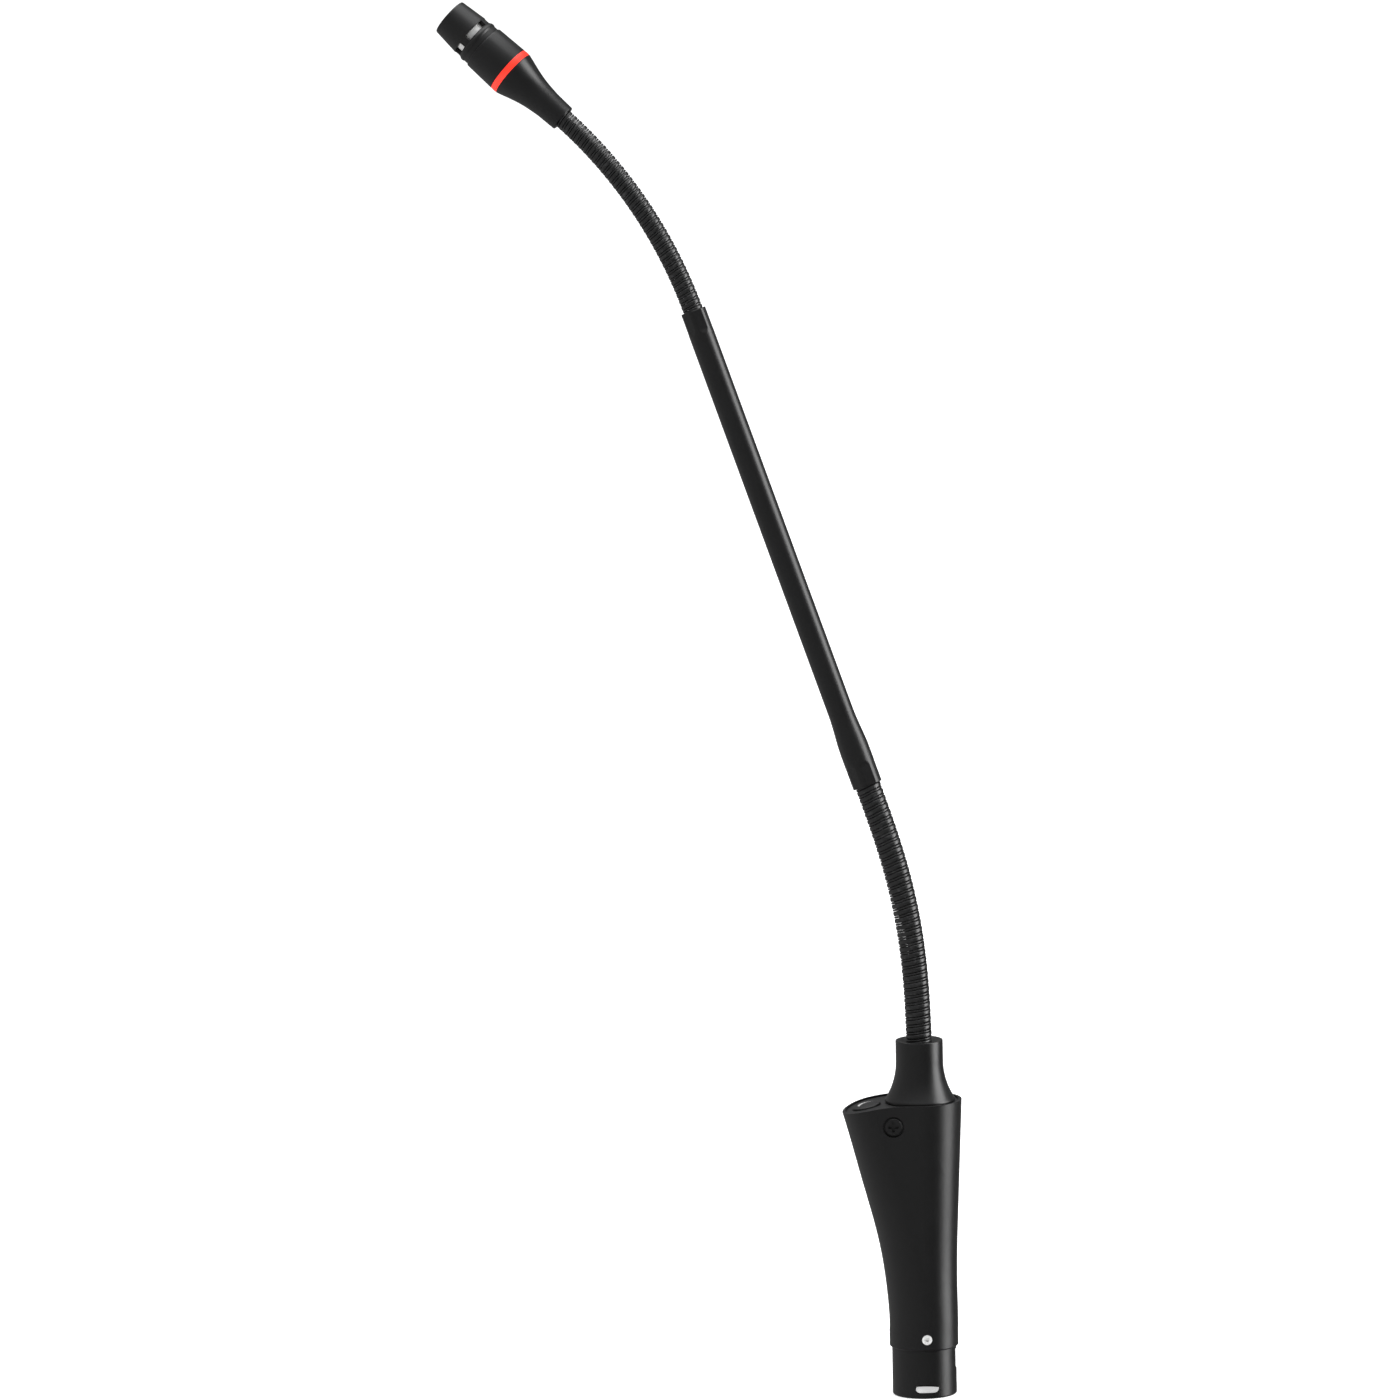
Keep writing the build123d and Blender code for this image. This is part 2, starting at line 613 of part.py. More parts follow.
def centre_tube():
    top = TUBE_LENGTH
    edge = 0.25
    tube = turned_points([
        (TUBE_BORE_R, SOCKET_DEPTH),
        (LOWER_COIL_R, SOCKET_DEPTH),
        (LOWER_COIL_R, 0),
        (TUBE_FLARE_R - edge, 0),
        (TUBE_FLARE_R, edge),
        (TUBE_FLARE_R, TUBE_FLARE_STRAIGHT),
        (TUBE_R, TUBE_FLARE_END),
        (TUBE_R, top - edge),
        (TUBE_R - edge, top),
        (TUBE_BORE_R, top),
    ])
    for i in range(CRIMP_FLATS):
        turn = Rot(0, 0, i * 360 / CRIMP_FLATS + 15)
        tube -= turn * crimp_cutter(TUBE_FLARE_R, 0, 1)
        tube -= turn * crimp_cutter(TUBE_R, top, -1)
    return tube_plane() * tube


# ---- Head ----

def head_plane():
    return Plane(origin=HEAD_START, x_dir=(0, 1, 0), z_dir=HEAD_DIRECTION)


def neck_cone():
    flare = Spline(*CONE_PROFILE, tangents=((0.0, 1.0), (0.28, 1.0)))
    cone = turned(
        Line((0, 0), (CONE_LIP_R - 0.2, 0)),
        Line((CONE_LIP_R - 0.2, 0), (CONE_LIP_R, 0.2)),
        Line((CONE_LIP_R, 0.2), CONE_PROFILE[0]),
        flare,
        Line(CONE_PROFILE[-1], (CONE_PROFILE[-1][0], RING_LOW)),
        Line((CONE_PROFILE[-1][0], RING_LOW), (SPIGOT_R, RING_LOW)),
        Line((SPIGOT_R, RING_LOW), (SPIGOT_R, SPIGOT_TOP)),
        Line((SPIGOT_R, SPIGOT_TOP), (0, SPIGOT_TOP)),
        Line((0, SPIGOT_TOP), (0, 0)),
    )
    cone -= disc(UPPER_COIL_R + 0.02, -1, 9.6)
    cone -= disc(1.6, 9, 14)
    cone -= turned_points([(0, 12.5), (2.4, 12.5), (SPIGOT_BORE_R, 18.4), (SPIGOT_BORE_R, 27), (0, 27)])
    for i in range(LED_COUNT):
        window = block((4.5, 6.5), (-0.9, 0.9), (RING_LOW + 0.15, RING_HIGH - 0.35))
        cone -= Rot(0, 0, i * 360 / LED_COUNT) * window
    return cone


def light_ring():
    """The translucent ring: its outside is slightly crowned."""
    middle = (RING_LOW + RING_HIGH) / 2
    edge_r = RING_R - 0.06
    return turned(
        Line((SPIGOT_R + 0.05, RING_LOW), (edge_r, RING_LOW)),
        ThreePointArc((edge_r, RING_LOW), (RING_R, middle), (edge_r, RING_HIGH)),
        Line((edge_r, RING_HIGH), (SPIGOT_R + 0.05, RING_HIGH)),
        Line((SPIGOT_R + 0.05, RING_HIGH), (SPIGOT_R + 0.05, RING_LOW)),
    )


def led_board():
    return ring(SPIGOT_BORE_R - 0.05, 1.5, 19.4, 20.1)


def led(turn):
    return Rot(0, 0, turn) * block((LED_CIRCLE_R - 0.5, LED_CIRCLE_R + 0.5), (-0.8, 0.8), (20.1, 20.9))


def head_body():
    low = RING_HIGH
    edge = 0.25
    return turned_points([
        (SPIGOT_R + 0.02, low),
        (BODY_LOW_R - edge, low),
        (BODY_LOW_R, low + edge),
        (BODY_HIGH_R, BODY_TOP - 0.45),
        (BODY_HIGH_R - 0.15, BODY_TOP - 0.12),
        (BODY_HIGH_R - 0.45, BODY_TOP),
        (BODY_BORE_R, BODY_TOP),
        (BODY_BORE_R, SPIGOT_TOP + 0.1),
        (SPIGOT_R + 0.02, SPIGOT_TOP + 0.1),
    ])


def front_cap():
    bump_low = 33.4
    bump_high = 35.0
    cap = turned(
        Line((0, 27.0), (BODY_BORE_R - 0.05, 27.0)),
        Line((BODY_BORE_R - 0.05, 27.0), (BODY_BORE_R - 0.05, BODY_TOP)),
        Line((BODY_BORE_R - 0.05, BODY_TOP), (CAP_NECK_R, BODY_TOP)),
        Line((CAP_NECK_R, BODY_TOP), (CAP_NECK_R, bump_low)),
        ThreePointArc((CAP_NECK_R, bump_low), (CAP_BUMP_R, (bump_low + bump_high) / 2), (CAP_SLOT_R, bump_high)),
        Line((CAP_SLOT_R, bump_high), (CAP_SLOT_R, VENT_HIGH)),
        Line((CAP_SLOT_R, VENT_HIGH), (CAP_BASE_R, VENT_HIGH + 0.2)),
        Line((CAP_BASE_R, VENT_HIGH + 0.2), (CAP_TIP_R, CAP_TOP - 0.5)),
        ThreePointArc((CAP_TIP_R, CAP_TOP - 0.5), (CAP_TIP_R - 0.15, CAP_TOP - 0.14), (CAP_TIP_R - 0.5, CAP_TOP)),
        Line((CAP_TIP_R - 0.5, CAP_TOP), (0, CAP_TOP)),
        Line((0, CAP_TOP), (0, 27.0)),
    )
    cap -= disc(CAP_BORE_R, 26, 41.9) + disc(CAP_SEAT_R, 41.8, 44.3) + disc(CAP_MOUTH_R, 44, 47)
    band = ring(9.0, 4.0, VENT_LOW, VENT_HIGH)
    ribs = Part() + [
        Rot(0, 0, quarter * 90) * block((0, 10), (-rib_half(), rib_half()), (VENT_LOW, VENT_HIGH))
        for quarter in range(4)
    ]
    return cap - Rot(0, 0, 180 - VENT_RIB_HEADING) * (band - ribs)


def rib_half():
    """Half the width of a rib between two side vents."""
    return CAP_SLOT_R * sin(radians(VENT_RIB / 2))


def capsule_can():
    can = ring(CAN_R, CAN_R - CAN_WALL, CAN_LOW, CAN_TOP)
    can += disc(CAN_R - CAN_WALL, CAN_TOP - CAN_WALL, CAN_TOP)
    can += ring(CAN_R - CAN_WALL, CAN_R - 1.0, CAN_LOW, CAN_LOW + CAN_WALL)
    holes = [(0, 0)] + [(2.4 * cos(radians(60 * i)), 2.4 * sin(radians(60 * i))) for i in range(6)]
    for hole in holes:
        can -= disc(0.5, CAN_TOP - 1, CAN_TOP + 1, hole)
    return can


def capsule_diaphragm():
    film = disc(CAN_R - CAN_WALL - 0.02, 41.45, 41.5)
    return film + ring(CAN_R - CAN_WALL - 0.02, 4.2, 41.5, 42.03)


def capsule_spacer():
    return ring(CAN_R - CAN_WALL - 0.02, 3.9, 35.2, 41.0) + ring(CAN_R - CAN_WALL - 0.02, 4.25, 40.9, 41.44)


def capsule_backplate():
    plate = disc(4.2, 41.0, 41.35)
    for i in range(4):
        plate -= disc(0.4, 40, 42, (2.2 * cos(radians(90 * i)), 2.2 * sin(radians(90 * i))))
    return plate


def capsule_board():
    board = disc(CAN_R - CAN_WALL - 0.02, 34.2, 35.0)
    return board + block((-1.4, 1.4), (-1.0, 1.0), (35.0, 36.6))


def capsule_seat():
    return ring(CAP_BORE_R, CAN_R, 31.6, 34.9) + ring(CAP_BORE_R, 3.4, 31.6, CAN_LOW)


def front_grille():
    """A perforated disc behind the cap's mouth."""
    disc_face = Circle(CAP_SEAT_R)
    holes = Sketch() + [
        Pos(x * 1.5 + (y % 2) * 0.75, y * 1.3) * Circle(0.45)
        for y in range(-2, 3) for x in range(-2, 3)
        if (x * 1.5 + (y % 2) * 0.75)**2 + (y * 1.3)**2 < 3.6**2
    ]
    return extrude(Pos(0, 0, 44.0) * (disc_face - holes), amount=0.28)


def foam_disc():
    return disc(CAP_SEAT_R - 0.05, 42.4, 43.95)


def head_cable():
    return disc(HEAD_CABLE_R, HEAD_CABLE_LOW, 34.1)


# ---- Boards and wires in the housing ----

def main_board():
    board = block((-BOARD_HALF, BOARD_HALF), (BOARD_FRONT, BOARD_BACK), (BOARD_LOW, BOARD_HIGH))
    for height in (BOARD_SCREW_LOW, BOARD_SCREW_HIGH):
        board -= Pos(0, 0, height) * (Rot(-90, 0, 0) * disc(1.05, 0, 8))
    return board


def board_screw(height):
    screw = disc(1.9, BOARD_FRONT - 1.2, BOARD_FRONT) + disc(1.0, BOARD_FRONT - 0.5, BOARD_BACK + 2.5)
    return Pos(0, 0, height) * (Rot(-90, 0, 0) * screw)


def capacitor(x, height):
    return Pos(x, 0, height) * (Rot(-90, 0, 0) * disc(2.4, BOARD_FRONT - 7, BOARD_FRONT))


def chip(x, height, wide, tall):
    return block((x - wide / 2, x + wide / 2), (BOARD_FRONT - 1.4, BOARD_FRONT), (height - tall / 2, height + tall / 2))


def cable_header():
    return block((-3.6, 3.6), (-2.4, BOARD_FRONT), (HEADER_TOP - 5, HEADER_TOP))


def plug_lead(centre, x):
    """A wire from a pin's solder cup to the board's lower edge."""
    points = [
        (centre[0], centre[1], PIN_TAIL - 3),
        (centre[0], centre[1], PIN_TAIL + 3),
        (x, BOARD_FRONT - 0.5, BOARD_LOW - 2),
        (x, BOARD_FRONT - 0.5, BOARD_LOW + 2.5),
    ]
    return round_tube(points, 0.5, 1.2)


def lower_cable():
    """The cable from the header through the bush and the lower coil into the tube."""
    points = [Vector(0, 0, HEADER_TOP), LOWER_CURVE[0]] + LOWER_JOINTS
    points.append(TUBE_START + TUBE_DIRECTION * FERRULE_DEPTH)
    return round_tube(points, CABLE_R, CABLE_BEND)


def upper_cable():
    """The cable from the lower end of the tube through the upper coil into the head."""
    points = [TUBE_START + TUBE_DIRECTION * FERRULE_DEPTH, TUBE_END] + UPPER_JOINTS
    points.append(HEAD_START + HEAD_DIRECTION * HEAD_CABLE_LOW)
    return round_tube(points, CABLE_R, CABLE_BEND)


def chain(prefix, joints, coil_r, pitch):
    """The rigid links of one coil, by node name."""
    links = {}
    for i in range(LINKS - 1):
        plane = link_plane(joints[i], joints[i + 1])
        length = (joints[i + 1] - joints[i]).length
        links[f"{prefix}_{i + 1}"] = plane * coil_link(coil_r, length, pitch)
    return links


def build():
    """Every node's solid, by name, in the part's frame."""
    head = head_plane()
    nodes = {
        "plug_barrel": plug_barrel(),
        "plug_insert": plug_insert(),
        "contact_pins": [contact_pin(centre) for centre in PIN_CENTRES],
        "plug_set_screw": set_screw(),
        "housing_shell": housing_shell(),
        "plate_screws": [plate_screw(-1), plate_screw(1)],
        "top_plate": top_plate(),
        "mute_button": mute_button(),
        "switch_plunger": switch_plunger(),
        "switch_body": switch_body(),
        "switch_board": switch_board(),
        "neck_boot": neck_boot(),
        "boot_nut": boot_nut(),
        "main_board": main_board(),
        "board_screws": [board_screw(height) for height in (BOARD_SCREW_LOW, BOARD_SCREW_HIGH)],
        "board_capacitors": [capacitor(-3.2, 33), capacitor(3.2, 33), capacitor(-3.2, 40)],
        "board_chips": [chip(3.2, 42, 4.4, 5), chip(-3.6, 48.5, 3, 3), chip(0, 29, 8, 1.6)],
        "cable_header": cable_header(),
        "plug_leads": [plug_lead(*ends) for ends in zip(PIN_CENTRES, (2.6, -2.6, 0))],
        "lower_cable": lower_cable(),
        "lower_coil_ferrule": lower_coil_ferrule(),
        "tube_lower_ferrule": tube_lower_ferrule(),
        "centre_tube": centre_tube(),
        "tube_upper_ferrule": tube_upper_ferrule(),
        "upper_cable": upper_cable(),
        "head_ferrule": head_ferrule(),
        "neck_cone": head * neck_cone(),
        "light_ring": head * light_ring(),
        "led_board": head * led_board(),
        "leds": [head * led(i * 360 / LED_COUNT) for i in range(LED_COUNT)],
        "head_body": head * head_body(),
        "front_cap": head * front_cap(),
        "capsule_can": head * capsule_can(),
        "capsule_diaphragm": head * capsule_diaphragm(),
        "capsule_spacer": head * capsule_spacer(),
        "capsule_backplate": head * capsule_backplate(),
        "capsule_board": head * capsule_board(),
        "capsule_seat": head * capsule_seat(),
        "front_grille": head * front_grille(),
        "foam_disc": head * foam_disc(),
        "head_cable": head * head_cable(),
    }
    nodes.update(chain("lower_link", LOWER_JOINTS, LOWER_COIL_R, LOWER_PITCH))
    nodes.update(chain("upper_link", UPPER_JOINTS, UPPER_COIL_R, UPPER_PITCH))
    return nodes


def main():
    os.makedirs("parts", exist_ok=True)
    for name, shape in build().items():
        solid = Compound(children=shape) if isinstance(shape, list) else shape
        export_step(solid, f"parts/{name}.step")


main()
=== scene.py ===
import logging
import math
from dataclasses import dataclass, field
from enum import Enum
from typing import Any

import bpy
import numpy as np
from mathutils import Matrix, Vector


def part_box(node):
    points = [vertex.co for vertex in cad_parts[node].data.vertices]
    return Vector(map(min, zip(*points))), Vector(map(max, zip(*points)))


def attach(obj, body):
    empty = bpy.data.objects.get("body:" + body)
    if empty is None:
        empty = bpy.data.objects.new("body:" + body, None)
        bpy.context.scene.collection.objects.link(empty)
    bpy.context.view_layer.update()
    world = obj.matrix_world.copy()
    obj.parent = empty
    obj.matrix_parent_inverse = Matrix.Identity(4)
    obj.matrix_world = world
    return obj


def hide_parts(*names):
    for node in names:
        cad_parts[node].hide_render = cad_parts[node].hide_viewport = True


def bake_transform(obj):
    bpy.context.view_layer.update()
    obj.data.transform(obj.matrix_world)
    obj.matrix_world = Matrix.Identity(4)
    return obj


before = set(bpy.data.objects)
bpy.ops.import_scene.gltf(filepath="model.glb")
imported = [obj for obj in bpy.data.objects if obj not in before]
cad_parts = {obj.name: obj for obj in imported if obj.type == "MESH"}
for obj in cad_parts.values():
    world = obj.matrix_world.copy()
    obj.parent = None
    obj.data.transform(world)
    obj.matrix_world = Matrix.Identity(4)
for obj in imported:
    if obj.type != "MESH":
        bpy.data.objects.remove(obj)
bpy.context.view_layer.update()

# Gooseneck podium microphone. Lengths are in millimetres until a mesh is made, where they
# become metres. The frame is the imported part's: the origin on the plug's axis at the
# shoulder, +Z up, and the lobe with the mute button to -X.

LOG = logging.getLogger("gooseneck_microphone")
MM = 0.001
Array = np.ndarray


class Slot(Enum):
    """The record's material slots, listed beside the head's parts; no piece takes its finish from them."""

    BLACK_METAL = "satin_black_metal"
    WIRE = "wound_black_wire"
    RING = "ring_red"
    JACKET = "cable_jacket"


# ---------------------------------------------------------------- directions and curves

def unit(vector: Array) -> Array:
    """The vector at length one."""
    return vector / np.linalg.norm(vector)


def heading(lean: float, turn: float) -> Array:
    """The unit vector that leans from +Z towards -X, turned towards +Y.

    Args:
        lean: Degrees from +Z.
        turn: Degrees from -X towards +Y.

    Returns:
        Three numbers: (-sin lean cos turn, sin lean sin turn, cos lean).
    """
    level = math.sin(math.radians(lean))
    side = math.radians(turn)
    return np.array([-level * math.cos(side), level * math.sin(side), math.cos(math.radians(lean))])


def turned_about(vector: Array, axis: Array, angles: Array) -> Array:
    """One vector turned about an axis by many angles.

    Args:
        vector: The vector to turn.
        axis: A unit axis.
        angles: Angles in radians.

    Returns:
        One row for each angle: v cos a + (axis x v) sin a + axis (axis . v)(1 - cos a).
    """
    angle = np.asarray(angles, float)[:, None]
    return (vector * np.cos(angle) + np.cross(axis, vector) * np.sin(angle)
            + axis * (axis @ vector) * (1 - np.cos(angle)))


@dataclass(frozen=True)
class Seat:
    """A turned part's own frame: its foot, and its axis as the local +Z."""

    foot: Array
    axis: Array

    def matrix(self) -> Array:
        """The local X, Y and Z directions as rows, with X as near +Y of the model as it can be."""
        level = np.array([0.0, 1.0, 0.0])
        x = unit(level - self.axis * (level @ self.axis))
        return np.stack([x, np.cross(self.axis, x), self.axis])

    def place(self, points: Array) -> Array:
        """Local points as points of the model: foot + x X + y Y + z Z."""
        return self.foot + points @ self.matrix()


@dataclass(frozen=True)
class Spine:
    """The centre line of a flexible section: a curve in one plane, straight beyond its ends."""

    start: Array
    first: Array
    last: Array
    length: float
    eased: bool
    steps: int = 2000

    @property
    def axis(self) -> Array:
        """The axis that the direction turns about along the curve."""
        return unit(np.cross(self.first, self.last))

    def directions(self, share: Array) -> Array:
        """The direction at each share of the length: first turned by the share of the whole turn."""
        inside = np.clip(share, 0.0, 1.0)
        done = inside * inside * (3 - 2 * inside) if self.eased else inside
        whole = math.acos(float(self.first @ self.last))
        return turned_about(self.first, self.axis, whole * done)

    def centres(self, share: Array) -> Array:
        """The point at each share of the length: the start plus the sum of the directions."""
        grid = np.linspace(0.0, 1.0, self.steps + 1)
        middle = (grid[1:] + grid[:-1]) / 2
        run = np.vstack([np.zeros(3), np.cumsum(self.directions(middle), axis=0)])
        run = run * self.length / self.steps + self.start
        inside = np.clip(share, 0.0, 1.0)
        found = np.stack([np.interp(inside, grid, run[:, k]) for k in range(3)], axis=1)
        beyond = (share - inside)[:, None] * self.length
        return found + beyond * self.directions(share)

    def end(self) -> Array:
        """The curve's last point."""
        return self.centres(np.array([1.0]))[0]


# ---------------------------------------------------------------- meshes

@dataclass
class Form:
    """A closed surface: points in millimetres, four-cornered faces and end faces."""

    points: Array
    quads: Array
    ends: list[Array] = field(default_factory=list)

    def volume(self) -> float:
        """The enclosed volume, from the sum of a . (b x c) / 6 over fans of triangles."""
        a, b, c, d = (self.points[self.quads[:, k]] for k in range(4))
        total = np.einsum("ij,ij->", a, np.cross(b, c)) + np.einsum("ij,ij->", a, np.cross(c, d))
        for face in self.ends:
            p = self.points[face]
            total += np.einsum("ij,ij->", np.broadcast_to(p[0], p[1:-1].shape), np.cross(p[1:-1], p[2:]))
        return float(total) / 6

    def outward(self) -> "Form":
        """The same surface with its faces turned outwards."""
        if self.volume() >= 0:
            return self
        return Form(self.points, self.quads[:, ::-1], [face[::-1] for face in self.ends])

    @staticmethod
    def joined(forms: list["Form"]) -> "Form":
        """Several surfaces as one, each turned outwards first."""
        points, quads, ends, base = [], [], [], 0
        for form in (item.outward() for item in forms):
            points.append(form.points)
            quads.append(form.quads + base)
            ends.extend(face + base for face in form.ends)
            base += len(form.points)
        return Form(np.vstack(points), np.vstack(quads), ends)


def skin(grid: Array, looped: bool = False) -> Form:
    """The closed surface over a grid of rings.

    Args:
        grid: Rows of rings, (rows, around, 3). Each ring closes on itself.
        looped: True where the last ring joins the first, as on a band. Otherwise the first and
            the last ring are closed by flat end faces.

    Returns:
        The surface, its quads between neighbouring rings.
    """
    rows, around = grid.shape[:2]
    index = np.arange(rows * around).reshape(rows, around)
    low = index if looped else index[:-1]
    high = np.roll(index, -1, axis=0) if looped else index[1:]
    quads = np.stack([low, np.roll(low, -1, axis=1), np.roll(high, -1, axis=1), high], axis=-1)
    ends = [] if looped else [index[0][::-1], index[-1]]
    return Form(grid.reshape(-1, 3), quads.reshape(-1, 4), ends).outward()


def rounded(corners: list[tuple[float, float, float]], looped: bool, steps: int = 5) -> Array:
    """An outline with its corners rounded.

    Each corner becomes the curve (1-s)(1-s)a + 2s(1-s)p + s s b, where a and b lie on the
    corner's two sides, as far from the corner p as its fillet touches them.

    Args:
        corners: (radius, height, fillet) of each corner.
        looped: True for a closed outline. An open one keeps its two ends.
        steps: Points on each rounded corner.

    Returns:
        The outline's points, (n, 2).
    """
    table = np.array(corners, float)
    place, fillet = table[:, :2], np.maximum(table[:, 2], 0.01)
    back = np.roll(place, 1, axis=0) - place
    ahead = np.roll(place, -1, axis=0) - place
    reach_back = np.linalg.norm(back, axis=1)
    reach_ahead = np.linalg.norm(ahead, axis=1)
    back = back / reach_back[:, None]
    ahead = ahead / reach_ahead[:, None]
    half = np.arccos(np.clip(np.sum(back * ahead, axis=1), -1, 1)) / 2
    touch = np.minimum(fillet / np.tan(half), 0.48 * np.minimum(reach_back, reach_ahead))
    if not looped:
        touch[0] = touch[-1] = 0.0
    share = np.linspace(0, 1, steps)[None, :, None]
    a = (place + back * touch[:, None])[:, None]
    b = (place + ahead * touch[:, None])[:, None]
    curve = (1 - share)**2 * a + 2 * share * (1 - share) * place[:, None] + share**2 * b
    if looped:
        return curve.reshape(-1, 2)
    return np.vstack([place[:1], curve[1:-1].reshape(-1, 2), place[-1:]])


def lathe(outline: Array, looped: bool, around: int = 96) -> Form:
    """An outline turned about +Z.

    Args:
        outline: (radius, height) of each point.
        looped: True for a ring's closed outline. An open outline is closed by flat ends.
        around: Points on each ring.

    Returns:
        The turned surface: (r cos a, r sin a, z).
    """
    angle = np.arange(around) * 2 * math.pi / around
    radius, height = outline[:, 0][:, None], outline[:, 1][:, None]
    grid = np.stack([radius * np.cos(angle), radius * np.sin(angle), height + 0 * angle], axis=-1)
    return skin(grid, looped)


def make_piece(name: str, form: Form, material: bpy.types.Material,
               crease: float = 32.0) -> bpy.types.Object:
    """A Blender object with its place in its mesh.

    Args:
        name: The piece's name.
        form: Its surface in millimetres, in the model's frame.
        material: Its only material.
        crease: Edges sharper than this many degrees stay sharp in the shading.

    Returns:
        The linked object.
    """
    mesh = bpy.data.meshes.new(name)
    faces = form.quads.tolist() + [face.tolist() for face in form.ends]
    mesh.from_pydata((form.points * MM).tolist(), [], faces)
    mesh.polygons.foreach_set("use_smooth", np.ones(len(mesh.polygons), bool))
    mesh.set_sharp_from_angle(angle=math.radians(crease))
    mesh.materials.append(material)
    mesh.update()
    piece = bpy.data.objects.new(name, mesh)
    bpy.context.scene.collection.objects.link(piece)
    LOG.info("%s: %d points, %d faces", name, len(mesh.vertices), len(mesh.polygons))
    return piece


# ---------------------------------------------------------------- shader wiring

class Value:
    """A socket on its way through a shader, with arithmetic that adds Math nodes."""

    def __init__(self, shader: "Wiring", socket: bpy.types.NodeSocket) -> None:
        """Keeps the shader and the socket."""
        self.shader = shader
        self.socket = socket

    def maths(self, operation: str, left: Any, right: Any) -> "Value":
        """A Math node of two values."""
        node = self.shader.node("ShaderNodeMath", {"operation": operation}, {0: left, 1: right})
        return self.shader.out(node, 0)

    def __add__(self, other: Any) -> "Value":
        """self + other."""
        return self.maths("ADD", self, other)

    def __radd__(self, other: Any) -> "Value":
        """other + self."""
        return self.maths("ADD", other, self)

    def __sub__(self, other: Any) -> "Value":
        """self - other."""
        return self.maths("SUBTRACT", self, other)

    def __rsub__(self, other: Any) -> "Value":
        """other - self."""
        return self.maths("SUBTRACT", other, self)

    def __mul__(self, other: Any) -> "Value":
        """self * other."""
        return self.maths("MULTIPLY", self, other)

    def __rmul__(self, other: Any) -> "Value":
        """other * self."""
        return self.maths("MULTIPLY", other, self)

    def __truediv__(self, other: Any) -> "Value":
        """self / other."""
        return self.maths("DIVIDE", self, other)

    def __pow__(self, other: Any) -> "Value":
        """self to the power of other."""
        return self.maths("POWER", self, other)

    def above(self, level: float) -> "Value":
        """One where self is above the level, otherwise zero."""
        return self.maths("GREATER_THAN", self, level)


class Wiring:
    """A node tree and the helpers that wire it."""

    def __init__(self, tree: bpy.types.NodeTree) -> None:
        """Keeps the tree and clears it."""
        self.tree = tree
        self.tree.nodes.clear()

    def put(self, socket: bpy.types.NodeSocket, value: Any) -> None:
        """Links a Value to a socket, or sets a plain number, colour or vector on it."""
        if isinstance(value, Value):
            self.tree.links.new(value.socket, socket)
        elif socket.type == "RGBA":
            socket.default_value = (*value, 1.0)
        else:
            socket.default_value = value

    def node(self, kind: str, settings: dict[str, Any], sockets: dict[Any, Any]) -> bpy.types.Node:
        """Adds a node.

        Args:
            kind: The node's type.
            settings: Its properties, set first. "stops" is a ramp's list of (place, colour).
            sockets: Values or links of its inputs, by name or number.

        Returns:
            The node.
        """
        made = self.tree.nodes.new(kind)
        for name, setting in settings.items():
            if name == "stops":
                band = made.color_ramp.elements
                while len(band) < len(setting):
                    band.new(0.5)
                for stop, (place, colour) in zip(band, setting):
                    stop.position = place
                    stop.color = (*colour, 1.0)
            else:
                setattr(made, name, setting)
        for name, value in sockets.items():
            self.put(made.inputs[name], value)
        return made

    def out(self, node: bpy.types.Node, name: Any) -> Value:
        """A node's output as a Value."""
        return Value(self, node.outputs[name])

    def ramp(self, value: Value, stops: list[tuple[float, tuple]]) -> Value:
        """A value through a colour ramp."""
        return self.out(self.node("ShaderNodeValToRGB", {"stops": stops}, {0: value}), 0)

    def mix(self, factor: Any, low: Any, high: Any) -> Value:
        """A colour between low and high by the factor."""
        return self.out(self.node("ShaderNodeMix", {"data_type": "RGBA"}, {0: factor, 6: low, 7: high}), 2)

    def axes(self, vector: Value) -> tuple[Value, Value, Value]:
        """A vector's three parts."""
        node = self.node("ShaderNodeSeparateXYZ", {}, {0: vector})
        return self.out(node, 0), self.out(node, 1), self.out(node, 2)


class Shader(Wiring):
    """One material with a Principled surface."""

    def __init__(self, name: str) -> None:
        """Makes the material with its surface, its output and the place on the piece."""
        self.material = bpy.data.materials.new(name)
        self.material.use_nodes = True
        super().__init__(self.material.node_tree)
        self.surface = self.node("ShaderNodeBsdfPrincipled", {}, {})
        self.node("ShaderNodeOutputMaterial", {}, {"Surface": self.out(self.surface, "BSDF")})
        self.place = self.out(self.node("ShaderNodeTexCoord", {}, {}), "Object")

    def noise(self, scale: float, detail: float = 2.0, place: Any = None) -> Value:
        """Noise between 0 and 1. The scale is the size of its features in millimetres."""
        sockets = {"Vector": place or self.place, "Scale": 1.0 / (scale * MM), "Detail": detail}
        return self.out(self.node("ShaderNodeTexNoise", {}, sockets), 0)

    def cells(self, scale: float) -> Value:
        """The distance to the nearest of scattered points. The scale is their spacing in millimetres."""
        sockets = {"Vector": self.place, "Scale": 1.0 / (scale * MM)}
        return self.out(self.node("ShaderNodeTexVoronoi", {}, sockets), 0)

    def local(self, seat: Seat) -> Value:
        """The place in a turned part's own frame, in metres."""
        turn = Matrix(seat.matrix().tolist())
        foot = Vector(seat.foot * MM)
        sockets = {"Vector": self.place, "Rotation": turn.to_euler("XYZ"), "Location": -(turn @ foot)}
        return self.out(self.node("ShaderNodeMapping", {"vector_type": "POINT"}, sockets), 0)

    def bump(self, height: Value, depth: float) -> None:
        """Raises the surface by a height between 0 and 1, times a depth in millimetres."""
        node = self.node("ShaderNodeBump", {}, {"Height": height, "Distance": depth * MM, "Strength": 1.0})
        self.put(self.surface.inputs["Normal"], self.out(node, 0))

    def dress(self, **sockets: Any) -> bpy.types.Material:
        """Sets the surface's sockets, written with _ for each space, and gives the material."""
        for name, value in sockets.items():
            self.put(self.surface.inputs[name.replace("_", " ")], value)
        return self.material


